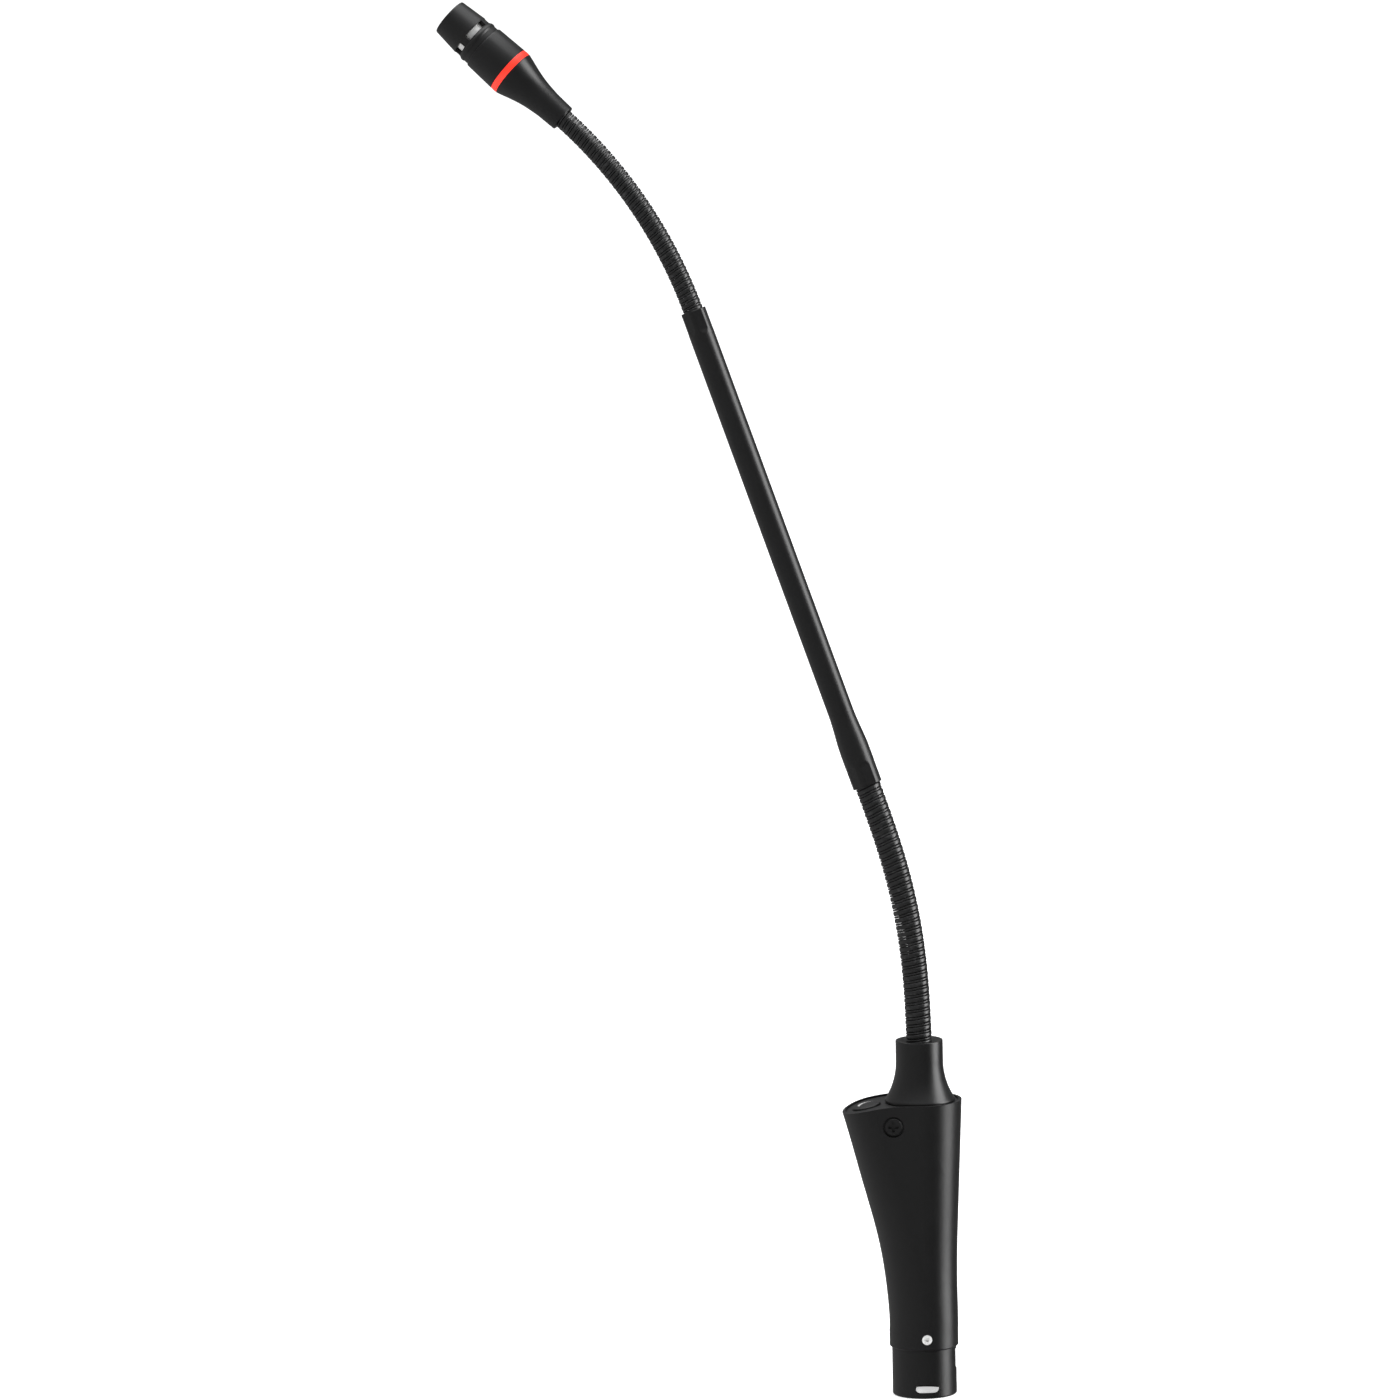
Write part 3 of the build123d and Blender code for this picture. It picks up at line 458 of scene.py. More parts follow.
# ---------------------------------------------------------------- finishes

@dataclass(frozen=True)
class SatinBlack:
    """Satin black paint on turned metal: a fine orange peel, a faint mottle and dull patches."""

    name: str = "satin_black"
    shade: float = 0.0050
    roughness: float = 0.34
    grain: float = 0.11
    depth: float = 0.0035

    def material(self) -> bpy.types.Material:
        """Builds the finish."""
        s = Shader(self.name)
        mottle = s.noise(6.0, 4.0)
        peel = s.noise(self.grain, 3.0)
        low = (self.shade * 0.8, self.shade * 0.8, self.shade * 0.82)
        high = (self.shade * 1.35, self.shade * 1.35, self.shade * 1.42)
        s.bump(peel, self.depth)
        return s.dress(
            Base_Color=s.mix(mottle * 0.6 + peel * 0.4, low, high),
            Roughness=self.roughness - 0.05 + mottle * 0.06 + peel * 0.05,
            IOR=1.5,
        )


@dataclass(frozen=True)
class WoundWire:
    """Black oxide wire: a semi-gloss skin with fine drawing marks and rubbed, slightly bare crowns."""

    name: str = "wound_wire"
    shade: float = 0.012

    def material(self) -> bpy.types.Material:
        """Builds the finish."""
        s = Shader(self.name)
        mottle = s.noise(1.6, 4.0)
        fine = s.noise(0.12, 2.0)
        rub = s.ramp(mottle, [(0.55, (0, 0, 0)), (0.75, (1, 1, 1))])
        dark = (self.shade * 0.7, self.shade * 0.7, self.shade * 0.72)
        bare = (self.shade * 2.6, self.shade * 2.6, self.shade * 2.7)
        s.bump(fine, 0.003)
        return s.dress(
            Base_Color=s.mix(rub, dark, bare),
            Roughness=0.27 + fine * 0.10,
            IOR=1.55,
        )


@dataclass(frozen=True)
class Moulding:
    """Moulded plastic with a spark-eroded grain."""

    name: str
    colour: tuple[float, float, float]
    roughness: float = 0.5
    grain: float = 0.18
    depth: float = 0.006

    def material(self) -> bpy.types.Material:
        """Builds the finish."""
        s = Shader(self.name)
        grain = s.noise(self.grain, 3.0)
        cloud = s.noise(4.0, 3.0)
        low = tuple(part * 0.8 for part in self.colour)
        high = tuple(min(part * 1.25, 1.0) for part in self.colour)
        s.bump(grain, self.depth)
        return s.dress(
            Base_Color=s.mix(cloud * 0.7 + grain * 0.3, low, high),
            Roughness=self.roughness - 0.06 + grain * 0.08 + cloud * 0.05,
        )


@dataclass(frozen=True)
class BareMetal:
    """Plated or plain metal with faint turning marks along one axis of the model."""

    name: str
    colour: tuple[float, float, float]
    roughness: float = 0.18
    marks: float = 0.08
    bare: float = 1.0

    def material(self) -> bpy.types.Material:
        """Builds the finish."""
        s = Shader(self.name)
        stretched = s.out(s.node("ShaderNodeMapping", {}, {"Vector": s.place, "Scale": (0.2, 0.2, 1.0)}), 0)
        lines = s.noise(self.marks, 2.0, stretched)
        cloud = s.noise(2.0, 3.0)
        low = tuple(part * 0.86 for part in self.colour)
        s.bump(lines, 0.002)
        return s.dress(
            Base_Color=s.mix(cloud, low, self.colour),
            Roughness=self.roughness + lines * 0.08 + cloud * 0.05,
            Metallic=self.bare,
        )


@dataclass(frozen=True)
class LitRing:
    """Orange-red diffusing plastic, lit from inside by six lamps."""

    seat: Seat
    name: str = "lit_ring"
    colour: tuple[float, float, float] = (1.0, 0.040, 0.018)
    lamps: int = 6

    def material(self) -> bpy.types.Material:
        """Builds the finish: the glow is a little stronger over each lamp."""
        s = Shader(self.name)
        x, y, _ = s.axes(s.local(self.seat))
        angle = x.maths("ARCTAN2", y, x)
        lobes = x.maths("COSINE", angle * float(self.lamps), 0.0)
        cloud = s.noise(0.8, 2.0)
        glow = 0.90 + lobes * 0.05 + cloud * 0.10
        dim = tuple(part * 0.78 for part in self.colour)
        s.bump(s.noise(0.25, 2.0), 0.002)
        return s.dress(
            Base_Color=s.mix(cloud, (0.70, 0.012, 0.006), (0.80, 0.02, 0.01)),
            Roughness=0.32 + cloud * 0.08,
            Emission_Color=s.mix(glow, dim, self.colour),
            Emission_Strength=0.85,
        )


@dataclass(frozen=True)
class ButtonTop:
    """The button's grained plastic with a white crescent at its dome's far rim: a painted highlight where the
    glossy dome would reflect the bright backdrop.
    """

    centre: tuple[float, float, float]
    name: str = "button_top"
    outer: float = 3.1
    inner: float = 6.0
    shift: tuple[float, float] = (2.83, -3.37)

    def material(self) -> bpy.types.Material:
        """Builds the finish: the painted highlight is a crescent, inside one circle and outside a shifted
        one.
        """
        s = Shader(self.name)
        grain = s.noise(0.16, 3.0)
        x, y, _ = s.axes(s.place)
        across = x - self.centre[0] * MM
        along = y - self.centre[1] * MM
        first = (across * across + along * along)**0.5
        right = across - self.shift[0] * MM
        near = along - self.shift[1] * MM
        second = (right * right + near * near)**0.5
        inside = 1.0 - first.above(self.outer * MM)
        # painted highlight: near-white crescent on the dome's far rim, standing in for its reflection of the
        # backdrop
        painted_highlight = inside * second.above(self.inner * MM)
        s.bump(grain, 0.005)
        return s.dress(
            Base_Color=s.mix(painted_highlight, (0.012, 0.012, 0.0125), (0.80, 0.80, 0.79)),
            Roughness=0.42 + grain * 0.12,
        )


@dataclass(frozen=True)
class FoamFinish:
    """Open black foam."""

    name: str = "open_foam"

    def material(self) -> bpy.types.Material:
        """Builds the finish."""
        s = Shader(self.name)
        cells = s.cells(0.35)
        s.bump(cells, 0.12)
        return s.dress(Base_Color=s.mix(cells, (0.004, 0.004, 0.004), (0.02, 0.02, 0.02)), Roughness=0.95)


@dataclass(frozen=True)
class Paper:
    """The pale floor."""

    name: str = "pale_floor"

    def material(self) -> bpy.types.Material:
        """Builds the finish."""
        s = Shader(self.name)
        tone = s.noise(400.0, 2.0)
        paper = s.mix(tone, (0.93, 0.93, 0.93), (0.95, 0.95, 0.95))
        return s.dress(Base_Color=paper, Roughness=0.9, Emission_Color=paper, Emission_Strength=0.62)


# ---------------------------------------------------------------- the flexible sections

@dataclass
class FlexibleSection:
    """A wound section: a round wire and a narrower filler wire, with a cable inside.

    It is made in ten lengths, one for each link of the chain.
    """

    name: str
    spine: Spine
    bodies: list[str]
    outer: float
    pitch: float
    wire: float
    filler: float
    cable: float = 1.2
    lead_in: float = 0.9
    lead_out: float = 1.4
    samples_per_turn: int = 44
    sink: float = 0.05            # how far the filler lies below the round wire's crown
    round_height: float = 0.44    # half heights of the two wires, as shares of the round wire
    filler_height: float = 0.34
    square: float = 0.6

    def frames(self, share: Array) -> tuple[Array, Array, Array, Array]:
        """The centres, directions and two cross directions of the spine at each share."""
        direction = self.spine.directions(share)
        first = np.broadcast_to(self.spine.axis, direction.shape)
        return self.spine.centres(share), direction, first, np.cross(direction, first)

    def helix(self, low: float, high: float, phase: float, radius: float, high_r: float,
              wide_r: float, around: int) -> Form:
        """One wire from one share of the length to another.

        The wire's centre is centre(s) + R (cos a first + sin a second) with a = 2 pi s L / pitch
        + phase, a right-handed screw. Its section is a squared oval, h times cos b to the power p
        outwards and w times sin b to the power p along the screw's own binormal. The power is the
        field square: 1 for an oval, less for a squarer section.

        Args:
            low: Share of the length where it starts.
            high: Share of the length where it ends.
            phase: Turn of the screw at share 0, in radians.
            radius: The screw's radius R.
            high_r: The section's half height h, outwards.
            wide_r: The section's half width w.
            around: Points on the section.

        Returns:
            The wire, closed at both ends.
        """
        turns = (high - low) * self.spine.length / self.pitch
        share = np.linspace(low, high, max(int(turns * self.samples_per_turn), 3))
        centre, direction, first, second = self.frames(share)
        angle = (2 * math.pi * share * self.spine.length / self.pitch + phase)[:, None]
        outward = np.cos(angle) * first + np.sin(angle) * second
        sideways = -np.sin(angle) * first + np.cos(angle) * second
        climb = self.pitch / (2 * math.pi)
        along = (sideways * radius + direction * climb) / math.hypot(radius, climb)
        binormal = np.cross(along, outward)
        ring = (np.arange(around) * 2 * math.pi / around)[None, :, None]
        middle = (centre + radius * outward)[:, None]
        rise = high_r * np.sign(np.cos(ring)) * np.abs(np.cos(ring))**self.square
        side = wide_r * np.sign(np.sin(ring)) * np.abs(np.sin(ring))**self.square
        grid = middle + rise * outward[:, None] + side * binormal[:, None]
        return skin(grid)

    def winding(self, low: float, high: float) -> Form:
        """The round wire and the filler wire of one length, half a pitch apart."""
        tall = self.wire * self.round_height
        low_tall = self.wire * self.filler_height
        filler_radius = self.outer - self.sink - low_tall
        return Form.joined([
            self.helix(low, high, 0.0, self.outer - tall, tall, self.wire / 2, 20),
            self.helix(low, high, math.pi, filler_radius, low_tall, self.filler / 2, 16),
        ])

    def core(self, low: float, high: float) -> Form:
        """The cable of one length: rings of the cable's radius about the spine."""
        share = np.linspace(low, high, 9)
        centre, _, first, second = self.frames(share)
        ring = (np.arange(20) * 2 * math.pi / 20)[None, :, None]
        outward = np.cos(ring) * first[:, None] + np.sin(ring) * second[:, None]
        return skin(centre[:, None] + self.cable * outward)

    def build(self, wire: bpy.types.Material, jacket: bpy.types.Material,
              replaced: list[list[str]], cable_node: str) -> None:
        """Makes the ten lengths along the curved spine.

        Args:
            wire: The wound wire's finish.
            jacket: The cable's finish.
            replaced: The CAD nodes that each length stands for.
            cable_node: The CAD node that the cable's lengths stand for.
        """
        count = len(self.bodies) - 1
        for i in range(count):
            low, high = i / count, (i + 1) / count
            start, end = self.spine.centres(np.array([low, high])) * MM
            reach_low = low - self.lead_in / self.spine.length * (i == 0)
            reach_high = high + self.lead_out / self.spine.length * (i == count - 1)
            winding = self.winding(reach_low, reach_high)
            coil = make_piece(f"{self.name}_winding_{i + 1}", winding, wire, 50.0)
            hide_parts(*replaced[i])
            core = make_piece(f"{self.name}_cable_{i + 1}", self.core(reach_low, reach_high), jacket)
            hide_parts(cable_node)
            for piece in (coil, core):
                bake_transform(piece)


# ---------------------------------------------------------------- the stiff parts

@dataclass
class CentreTube:
    """The stiff tube: a flared lower end and six pressed flats at each end."""

    seat: Seat
    length: float = 148.9
    radius: float = 3.8
    flare: float = 4.45
    flare_straight: float = 10.8
    flare_end: float = 22.8
    socket: float = 3.85
    socket_depth: float = 16.0
    bore: float = 3.1
    crimp: float = 7.6
    crimp_depth: float = 0.26
    fade_start: float = 0.8       # shares of the crimp's length
    fade_length: float = 0.35
    fade_stop: float = 1.2
    fade_rise: float = 0.3        # how far outside the wall a flat has run by its end
    far: float = 50.0             # a flat moved out by this touches nothing
    flats: int = 6
    flat_turn: float = 15.0
    lip: float = 0.22

    def wall(self, height: Array, angle: Array) -> Array:
        """The outer radius at each height and angle.

        It is the smaller of the plain radius and the distance to the nearest pressed flat,
        d / cos of the angle from the flat's middle. d runs out of the wall past the crimp.
        """
        share = np.clip((height - self.flare_straight) / (self.flare_end - self.flare_straight), 0, 1)
        plain = self.flare + (self.radius - self.flare) * share * share * (3 - 2 * share)
        step = 2 * math.pi / self.flats
        off = (angle - math.radians(self.flat_turn) + step / 2) % step - step / 2
        result = plain + 0 * angle
        for inwards, base in ((height, self.flare), (self.length - height, self.radius)):
            faded = (inwards - self.crimp * self.fade_start) / (self.crimp * self.fade_length)
            ramp = np.clip(faded, 0, 1)
            beyond = inwards > self.crimp * self.fade_stop
            flat = base - self.crimp_depth + ramp * (self.crimp_depth + self.fade_rise) + self.far * beyond
            result = np.minimum(result, flat / np.cos(off))
        return result

    def build(self, material: bpy.types.Material) -> None:
        """Makes the tube with its two bores as one closed surface."""
        around = 144
        angle = (np.arange(around) * 2 * math.pi / around)[None, :]
        low = np.linspace(self.lip, self.crimp * 1.3, 40)
        middle = np.linspace(self.crimp * 1.3, self.length - self.crimp * 1.3, 60)[1:-1]
        high = self.length - low[::-1]
        height = np.concatenate([low, middle, high])[:, None]
        outer = self.wall(height, angle)
        bend = np.linspace(0, math.pi / 2, 5)[:, None]
        foot = outer[:1] - self.lip + self.lip * np.sin(bend[:-1])
        foot_height = self.lip - self.lip * np.cos(bend[:-1])
        top = outer[-1:] - self.lip + self.lip * np.cos(bend[1:])
        top_height = self.length - self.lip + self.lip * np.sin(bend[1:])
        inside = np.array([[self.bore, self.length], [self.bore, self.socket_depth],
                           [self.socket, self.socket_depth], [self.socket, 0.0]])
        radius = np.vstack([foot, outer, top, inside[:, :1] + 0 * angle])
        level = np.vstack([foot_height, height, top_height, inside[:, 1:]]) + 0 * angle
        grid = np.stack([radius * np.cos(angle), radius * np.sin(angle), level], axis=-1)
        form = skin(grid, looped=True)
        form.points = self.seat.place(form.points)
        piece = make_piece("centre_tube_skin", form, material, 24.0)
        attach(piece, "tube")
        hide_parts("centre_tube")


@dataclass
class HiddenPlugs:
    """The turned bushes that the wound sections end on, inside the boot, the tube and the cone."""

    tube: Seat
    head: Seat
    tube_length: float = 148.9
    lower: float = 3.8
    upper: float = 3.04
    inset: float = 1.8
    depth: float = 14.0
    head_depth: float = 9.5

    @staticmethod
    def flange() -> list[tuple[float, float, float]]:
        """The neck bush's outline: a bored stem with a flange and a stepped top."""
        stem, rim, bore, step = 4.58, 6.5, 1.8, 3.5
        return [(bore, 64.0, 0.1), (stem, 64.0, 0.3), (stem, 73.6, 0.05), (rim, 73.6, 0.2), (rim, 75.2, 0.2),
                (stem, 75.2, 0.1), (stem, 89.4, 0.2), (step, 89.4, 0.1), (step, 90.0, 0.1), (bore, 90.0, 0.1)]

    def build(self, material: bpy.types.Material) -> None:
        """Makes the four bushes, each a closed outline turned about its part's axis."""
        base = Seat(np.zeros(3), np.array([0.0, 0.0, 1.0]))
        top = self.tube_length
        tube_low = self.sleeve(self.lower, self.inset, self.depth)
        tube_high = self.sleeve(self.upper, top - self.depth, top - self.inset)
        head_low = self.sleeve(self.upper, self.inset, self.head_depth)
        plugs = [
            ("neck_bush", base, self.flange(), "base", "lower_coil_ferrule"),
            ("tube_lower_bush", self.tube, tube_low, "tube", "tube_lower_ferrule"),
            ("tube_upper_bush", self.tube, tube_high, "tube", "tube_upper_ferrule"),
            ("head_bush", self.head, head_low, "head", "head_ferrule"),
        ]
        for name, seat, outline, body, node in plugs:
            form = lathe(rounded(outline, True), True, 48)
            form.points = seat.place(form.points)
            piece = make_piece(name, form, material)
            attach(piece, body)
            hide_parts(node)

    @staticmethod
    def sleeve(radius: float, low: float, high: float) -> list[tuple[float, float, float]]:
        """A plain sleeve's outline, with rounded ends."""
        return [(1.6, low, 0.1), (radius, low, 0.3), (radius, high, 0.3), (1.6, high, 0.1)]


@dataclass
class InnerCables:
    """The cable's straight runs, in the housing, the tube and the head."""

    tube: Seat
    head: Seat
    radius: float = 1.2

    def build(self, jacket: bpy.types.Material) -> None:
        """Makes each run as a closed rod about its part's axis."""
        base = Seat(np.zeros(3), np.array([0.0, 0.0, 1.0]))
        runs = [("housing_cable", base, 59.0, 90.25, "base", "lower_cable"),
                ("tube_cable", self.tube, 1.4, 147.9, "tube", "upper_cable"),
                ("neck_cable", self.head, 1.4, 9.6, "head", "upper_cable")]
        for name, seat, low, high, body, node in runs:
            corners = [(0.05, low, 0), (self.radius, low, 0.1), (self.radius, high, 0.1), (0.05, high, 0)]
            form = lathe(rounded(corners, False), False, 24)
            form.points = seat.place(form.points)
            piece = make_piece(name, form, jacket)
            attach(piece, body)
            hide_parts(node)


@dataclass
class NeckBoot:
    """The flared boot on the top plate: a foot, a hollow curve, a straight neck and a dished lip."""

    foot: float = 73.6
    foot_r: float = 10.4
    neck_r: float = 7.0
    curve_r: float = 20.6
    curve_top: float = 85.6
    top: float = 92.0
    land: float = 0.7
    dish: float = 1.0
    bore: float = 3.9
    bush_r: float = 4.65

    def build(self, material: bpy.types.Material) -> None:
        """Makes the boot: its flank is an arc, r = c - sqrt(R R - (top - z)(top - z))."""
        height = np.linspace(self.foot + 0.75, self.curve_top, 30)
        centre = self.neck_r + self.curve_r
        flank = np.stack([centre - np.sqrt(self.curve_r**2 - (self.curve_top - height)**2), height], axis=1)
        low = rounded([(self.bush_r + 2.1, self.foot, 0), (self.foot_r, self.foot, 0.2),
                       (flank[0, 0] + 0.01, self.foot + 0.65, 0.1), tuple(flank[0]) + (0,)], False)
        flange = self.bush_r + 2.0
        high = rounded([(self.neck_r, self.curve_top + 0.3, 0), (self.neck_r, self.top, 0.35),
                        (self.neck_r - self.land, self.top, 0.12), (self.bore, self.top - self.dish, 0.1),
                        (self.bore, 89.4, 0.05), (self.bush_r, 89.4, 0.05),
                        (self.bush_r, self.foot + 1.6, 0.05), (flange, self.foot + 1.6, 0.05),
                        (flange, self.foot + 0.1, 0)], False)
        form = lathe(np.vstack([low[:-1], flank, high]), True, 160)
        piece = make_piece("neck_boot_skin", form, material, 28.0)
        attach(piece, "base")
        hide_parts("neck_boot")


@dataclass
class Head:
    """The head's outer turned parts: the neck cone, the light ring and the body."""

    seat: Seat
    ring_low: float = 20.0
    ring_high: float = 21.95

    def cone_outline(self) -> Array:
        """The cone: a straight neck, then a flare through smooth steps of radius."""
        heights = np.array([6.0, 9.5, 13.5, 17.0, 19.9])
        radii = np.array([4.3, 4.72, 5.5, 6.5, 7.36])
        fine = np.linspace(6.0, 19.9, 40)
        curve = np.polyfit(heights, radii, 4)
        flank = np.stack([np.polyval(curve, fine), fine], axis=1)
        low = rounded([(3.08, 9.6, 0), (3.08, 0.0, 0.15), (4.05, 0.0, 0.2), (4.3, 6.0, 0.0)], False)
        high = rounded([(7.36, 19.92, 0), (7.36, 20.0, 0.03), (5.85, 20.0, 0.05), (5.85, 26.0, 0.15),
                        (5.0, 26.0, 0.05), (5.0, 18.4, 0.1), (2.4, 12.5, 0.1), (1.6, 12.5, 0.05),
                        (1.6, 9.6, 0.05)], False)
        return np.vstack([low[:-1], flank, high])

    def ring_outline(self) -> Array:
        """The ring: its outside crowned by the arc of a shallow bow."""
        share = np.linspace(-1, 1, 15)
        middle = (self.ring_low + self.ring_high) / 2
        half = (self.ring_high - self.ring_low) / 2 - 0.03
        bow = np.stack([7.42 - 0.07 * share**2, middle + half * share], axis=1)
        inner = np.array([[5.9, self.ring_high - 0.03], [5.9, self.ring_low + 0.03]])
        return np.vstack([bow, inner])

    def body_outline(self) -> Array:
        """The body: a slightly tapering sleeve with a rounded front edge."""
        return rounded([(5.87, self.ring_high, 0.05), (7.4, self.ring_high, 0.22), (7.07, 31.9, 0.45),
                        (6.2, 31.9, 0.05), (6.2, 26.1, 0.05), (5.87, 26.1, 0.05)], True, 7)

    def build(self, metal: bpy.types.Material, lit: bpy.types.Material) -> None:
        """Makes the three parts about the head's axis."""
        parts = [
            ("neck_cone_skin", self.cone_outline(), metal, "neck_cone", Slot.BLACK_METAL),
            ("light_ring_skin", self.ring_outline(), lit, "light_ring", Slot.RING),
            ("head_body_skin", self.body_outline(), metal, "head_body", Slot.BLACK_METAL),
        ]
        for name, outline, material, node, slot in parts:
            form = lathe(outline, True, 144)
            form.points = self.seat.place(form.points)
            piece = make_piece(name, form, material, 28.0)
            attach(piece, "head")
            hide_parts(node)


# ---------------------------------------------------------------- finishes of the kept parts

@dataclass
class KeptParts:
    """Gives every CAD node that stays in view its finish."""

    button_centre: tuple[float, float, float]

    def finishes(self) -> dict[str, bpy.types.Material]:
        """The finish of each kept node, by the node's name."""
        black = SatinBlack("housing_black", roughness=0.38).material()
        moulded = Moulding("plate_black", (0.011, 0.011, 0.0115)).material()
        nickel = BareMetal("bright_nickel", (0.86, 0.85, 0.83), 0.24).material()
        frosted = BareMetal("frosted_nickel", (0.93, 0.93, 0.92), 0.4, bare=0.25).material()
        dark_steel = BareMetal("black_steel", (0.022, 0.022, 0.023), 0.42).material()
        brass = BareMetal("turned_brass", (0.78, 0.60, 0.30), 0.25).material()
        insulator = Moulding("insulator", (0.02, 0.02, 0.021), 0.45).material()
        laminate = Moulding("board_laminate", (0.02, 0.13, 0.06), 0.35).material()
        component = Moulding("component_black", (0.02, 0.02, 0.022), 0.4).material()
        return {
            "plug_barrel": black, "housing_shell": black, "front_cap": black,
            "top_plate": moulded, "capsule_seat": insulator, "plug_insert": insulator,
            "cable_header": insulator, "capsule_spacer": insulator,
            "contact_pins": nickel, "board_screws": nickel,
            "plug_set_screw": frosted, "capsule_can": frosted,
            "plate_screws": black, "front_grille": dark_steel,
            "boot_nut": brass, "capsule_backplate": brass,
            "main_board": laminate, "switch_board": laminate, "led_board": laminate,
            "capsule_board": laminate,
            "switch_body": component, "switch_plunger": component, "board_chips": component,
            "board_capacitors": BareMetal("drawn_can", (0.70, 0.70, 0.72), 0.3).material(),
            "plug_leads": Moulding("lead_red", (0.45, 0.03, 0.02), 0.5).material(),
            "head_cable": Moulding("inner_jacket", (0.015, 0.015, 0.015), 0.6).material(),
            "leds": Moulding("lamp_lens", (0.9, 0.25, 0.12), 0.2).material(),
            "capsule_diaphragm": BareMetal("coated_film", (0.85, 0.78, 0.55), 0.15).material(),
            "foam_disc": FoamFinish().material(),
            "mute_button": ButtonTop(self.button_centre).material(),
        }

    def dress(self) -> None:
        """Assigns the finishes to the nodes' material slots."""
        for name, material in self.finishes().items():
            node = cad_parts[name]
            node.data.materials.clear()
            node.data.materials.append(material)
            LOG.info("%s: finish %s", name, material.name)


# ---------------------------------------------------------------- the studio

@dataclass(frozen=True)
class Lamp:
    """A soft rectangular light: its centre and its width and height in metres, its power in watts."""

    name: str
    place: tuple[float, float, float]
    size: tuple[float, float]
    power: float
    aim: tuple[float, float, float] = (-0.05, 0.02, 0.2)

    def hang(self) -> None:
        """Adds the light, turned to face its aim."""
        data = bpy.data.lights.new(self.name, "AREA")
        data.shape = "RECTANGLE"
        data.size, data.size_y = self.size
        data.energy = self.power
        light = bpy.data.objects.new(self.name, data)
        bpy.context.scene.collection.objects.link(light)
        light.location = self.place
        facing = Vector(self.aim) - Vector(self.place)
        light.rotation_euler = facing.to_track_quat("-Z", "Y").to_euler()


@dataclass
class Studio:
    """The floor, the soft lights and the camera."""

    floor_drop: float = 14.42
    camera_place: tuple[float, float, float] = (-387.6, -4337.2, 914.6)
    azimuth: float = 4.43
    elevation: float = 9.47
    roll: float = 1.10
    aim_side: float = -11.35
    aim_up: float = 6.1
    lens: float = 386.3
    walls: tuple[tuple[float, float], ...] = (
        (-180, 0.2), (-110, 0.42), (-30, 0.30), (10, 0.20), (32, 0.02), (110, 0.04), (150, 0.15), (180, 0.2))
    pale: tuple[float, float, float] = (0.62, 0.63, 0.64)
    pale_from: float = 0.45
    pale_full: float = 0.9
    lamps: tuple[Lamp, ...] = (
        Lamp("strip_right", (2.2, -0.4, 0.7), (1.4, 3.0), 85.0),
        Lamp("top", (0.0, 0.4, 3.0), (3.0, 3.0), 60.0))

    def camera(self) -> None:
        """Sets the camera: its back direction, its side and its up direction, rolled a little."""
        az, up, roll = (math.radians(value) for value in (self.azimuth, self.elevation, self.roll))
        side = np.array([math.cos(az), -math.sin(az), 0.0])
        back = np.array([-math.sin(az) * math.cos(up), -math.cos(az) * math.cos(up), math.sin(up)])
        above = np.cross(back, side)
        x = math.cos(roll) * side - math.sin(roll) * above
        y = math.sin(roll) * side + math.cos(roll) * above
        place = (np.array(self.camera_place) + self.aim_side * x + self.aim_up * y) * MM
        data = bpy.data.cameras.new("view")
        data.lens, data.sensor_width = self.lens, 36.0
        data.clip_start, data.clip_end = 0.5, 60.0
        camera = bpy.data.objects.new("view", data)
        bpy.context.scene.collection.objects.link(camera)
        rows = np.vstack([np.stack([x, y, back, place], axis=1), [0, 0, 0, 1]])
        camera.matrix_world = Matrix(rows.tolist())
        bpy.context.scene.camera = camera

    def floor(self) -> None:
        """Lays the pale floor just under the plug's end."""
        half = 15000.0
        level = -self.floor_drop
        corners = np.array([[-half, -half, level], [half, -half, level],
                            [half, half, level], [-half, half, level]])
        mesh = bpy.data.meshes.new("floor")
        mesh.from_pydata((corners * MM).tolist(), [], [(0, 1, 2, 3)])
        mesh.materials.append(Paper().material())
        floor = bpy.data.objects.new("floor", mesh)
        bpy.context.scene.collection.objects.link(floor)
        floor.visible_glossy = False

    def sky(self) -> None:
        """Surrounds the set with dim walls: grey to the left, near black to the front right, pale above.

        The walls' tone depends on the bearing, atan2(x, -y), from the camera's side round to the right.
        """
        world = bpy.data.worlds.new("studio")
        world.use_nodes = True
        bpy.context.scene.world = world
        s = Wiring(world.node_tree)
        x, y, z = s.axes(s.out(s.node("ShaderNodeTexCoord", {}, {}), "Generated"))
        bearing = x.maths("ARCTAN2", x, 0.0 - y) / (2 * math.pi) + 0.5
        walls = [(degrees / 360 + 0.5, (tone,) * 3) for degrees, tone in self.walls]
        above = s.ramp(z, [(self.pale_from, (0.0,) * 3), (self.pale_full, (1.0,) * 3)])
        tone = s.mix(above, s.ramp(bearing, walls), self.pale)
        background = s.node("ShaderNodeBackground", {}, {"Color": tone, "Strength": 1.0})
        s.node("ShaderNodeOutputWorld", {}, {"Surface": s.out(background, 0)})

    def lights(self) -> None:
        """Hangs a bright strip to the right, and a soft light overhead for the floor."""
        for lamp in self.lamps:
            lamp.hang()

    def colours(self) -> None:
        """Shows colours plainly, without a film look."""
        bpy.context.scene.view_settings.view_transform = "Standard"
        bpy.context.scene.view_settings.look = "None"


# ---------------------------------------------------------------- the whole

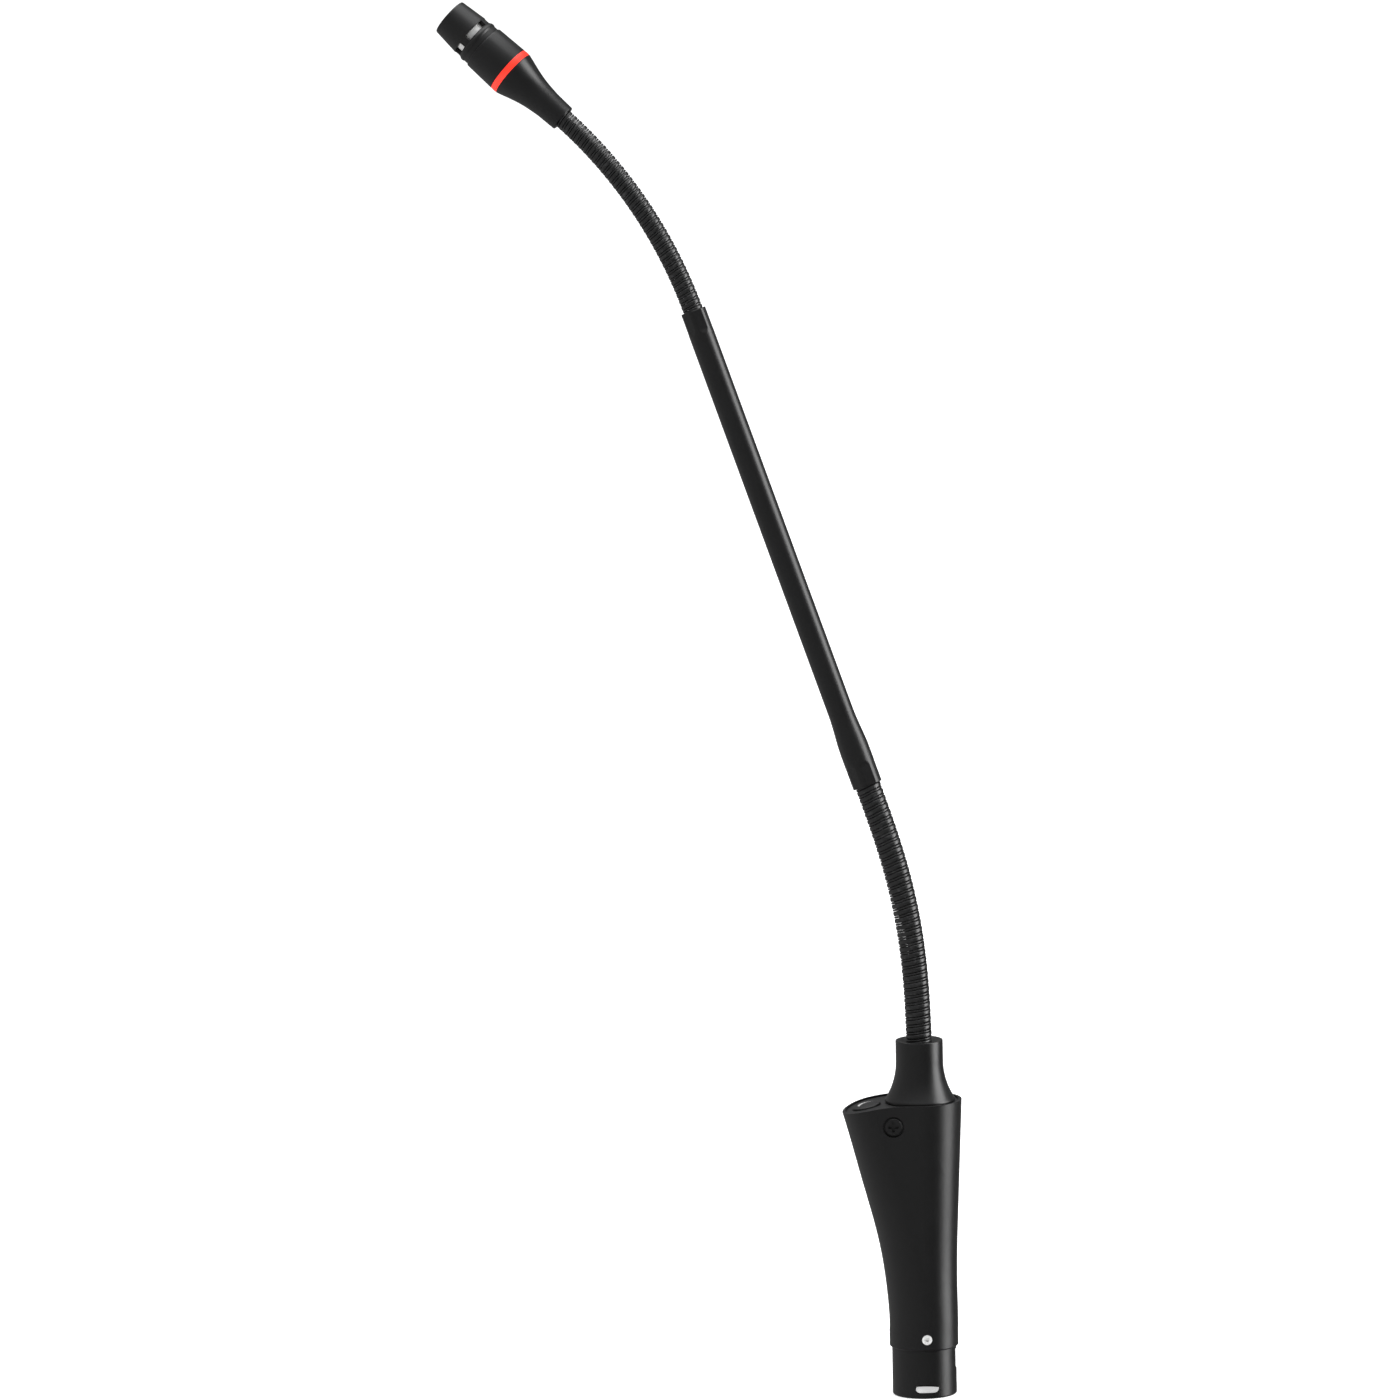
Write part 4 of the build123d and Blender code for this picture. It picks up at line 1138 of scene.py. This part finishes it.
@dataclass
class Microphone:
    """The gooseneck: the order and the sizes that its parts share."""

    lower_start: float = 91.1
    lower_length: float = 78.2
    upper_length: float = 69.2
    tube_length: float = 148.9
    lean_start: float = 1.4
    lean_tube: float = 20.7
    lean_head: float = 49.4
    turn_tube: float = 26.7
    turn_head: float = 21.5
    links: int = 10

    def __post_init__(self) -> None:
        """Works out the two spines and the frames of the tube and the head."""
        along_base = heading(self.lean_start, self.turn_tube)
        along_tube = heading(self.lean_tube, self.turn_tube)
        along_head = heading(self.lean_head, self.turn_head)
        start = np.array([0.0, 0.0, self.lower_start])
        self.lower = Spine(start, along_base, along_tube, self.lower_length, True)
        self.tube = Seat(self.lower.end(), along_tube)
        self.upper = Spine(self.tube.foot + along_tube * self.tube_length, along_tube, along_head,
                           self.upper_length, False)
        self.head = Seat(self.upper.end(), along_head)

    def chain(self, prefix: str, first: str, last: str) -> list[str]:
        """The bodies along one flexible section."""
        return [first] + [f"{prefix}_link_{i}" for i in range(1, self.links)] + [last]

    def build(self) -> None:
        """Makes every new piece."""
        wire = WoundWire().material()
        jacket = Moulding("cable_jacket", (0.012, 0.012, 0.012), 0.6).material()
        metal = SatinBlack().material()
        lower = FlexibleSection("lower", self.lower, self.chain("lower", "base", "tube"),
                                outer=3.84, pitch=2.2, wire=1.40, filler=0.64)
        upper = FlexibleSection("upper", self.upper, self.chain("upper", "tube", "head"),
                                outer=3.04, pitch=2.0, wire=1.26, filler=0.60)
        for section in (lower, upper):
            replaced = [[f"{section.name}_link_{max(i, 1)}"] for i in range(self.links)]
            section.build(wire, jacket, replaced, f"{section.name}_cable")
        CentreTube(self.tube).build(metal)
        HiddenPlugs(self.tube, self.head).build(wire)
        InnerCables(self.tube, self.head).build(jacket)
        NeckBoot().build(metal)
        Head(self.head).build(metal, LitRing(self.head).material())
        button_low, button_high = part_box("mute_button")
        centre = tuple((button_low + button_high) / 2 / MM)
        KeptParts(centre).dress()


def main() -> None:
    """Builds the microphone and its studio."""
    logging.basicConfig(level=logging.INFO, format="%(name)s %(message)s")
    studio = Studio()
    studio.colours()
    studio.camera()
    studio.floor()
    studio.sky()
    studio.lights()
    Microphone().build()


if __name__ == "__main__":
    main()
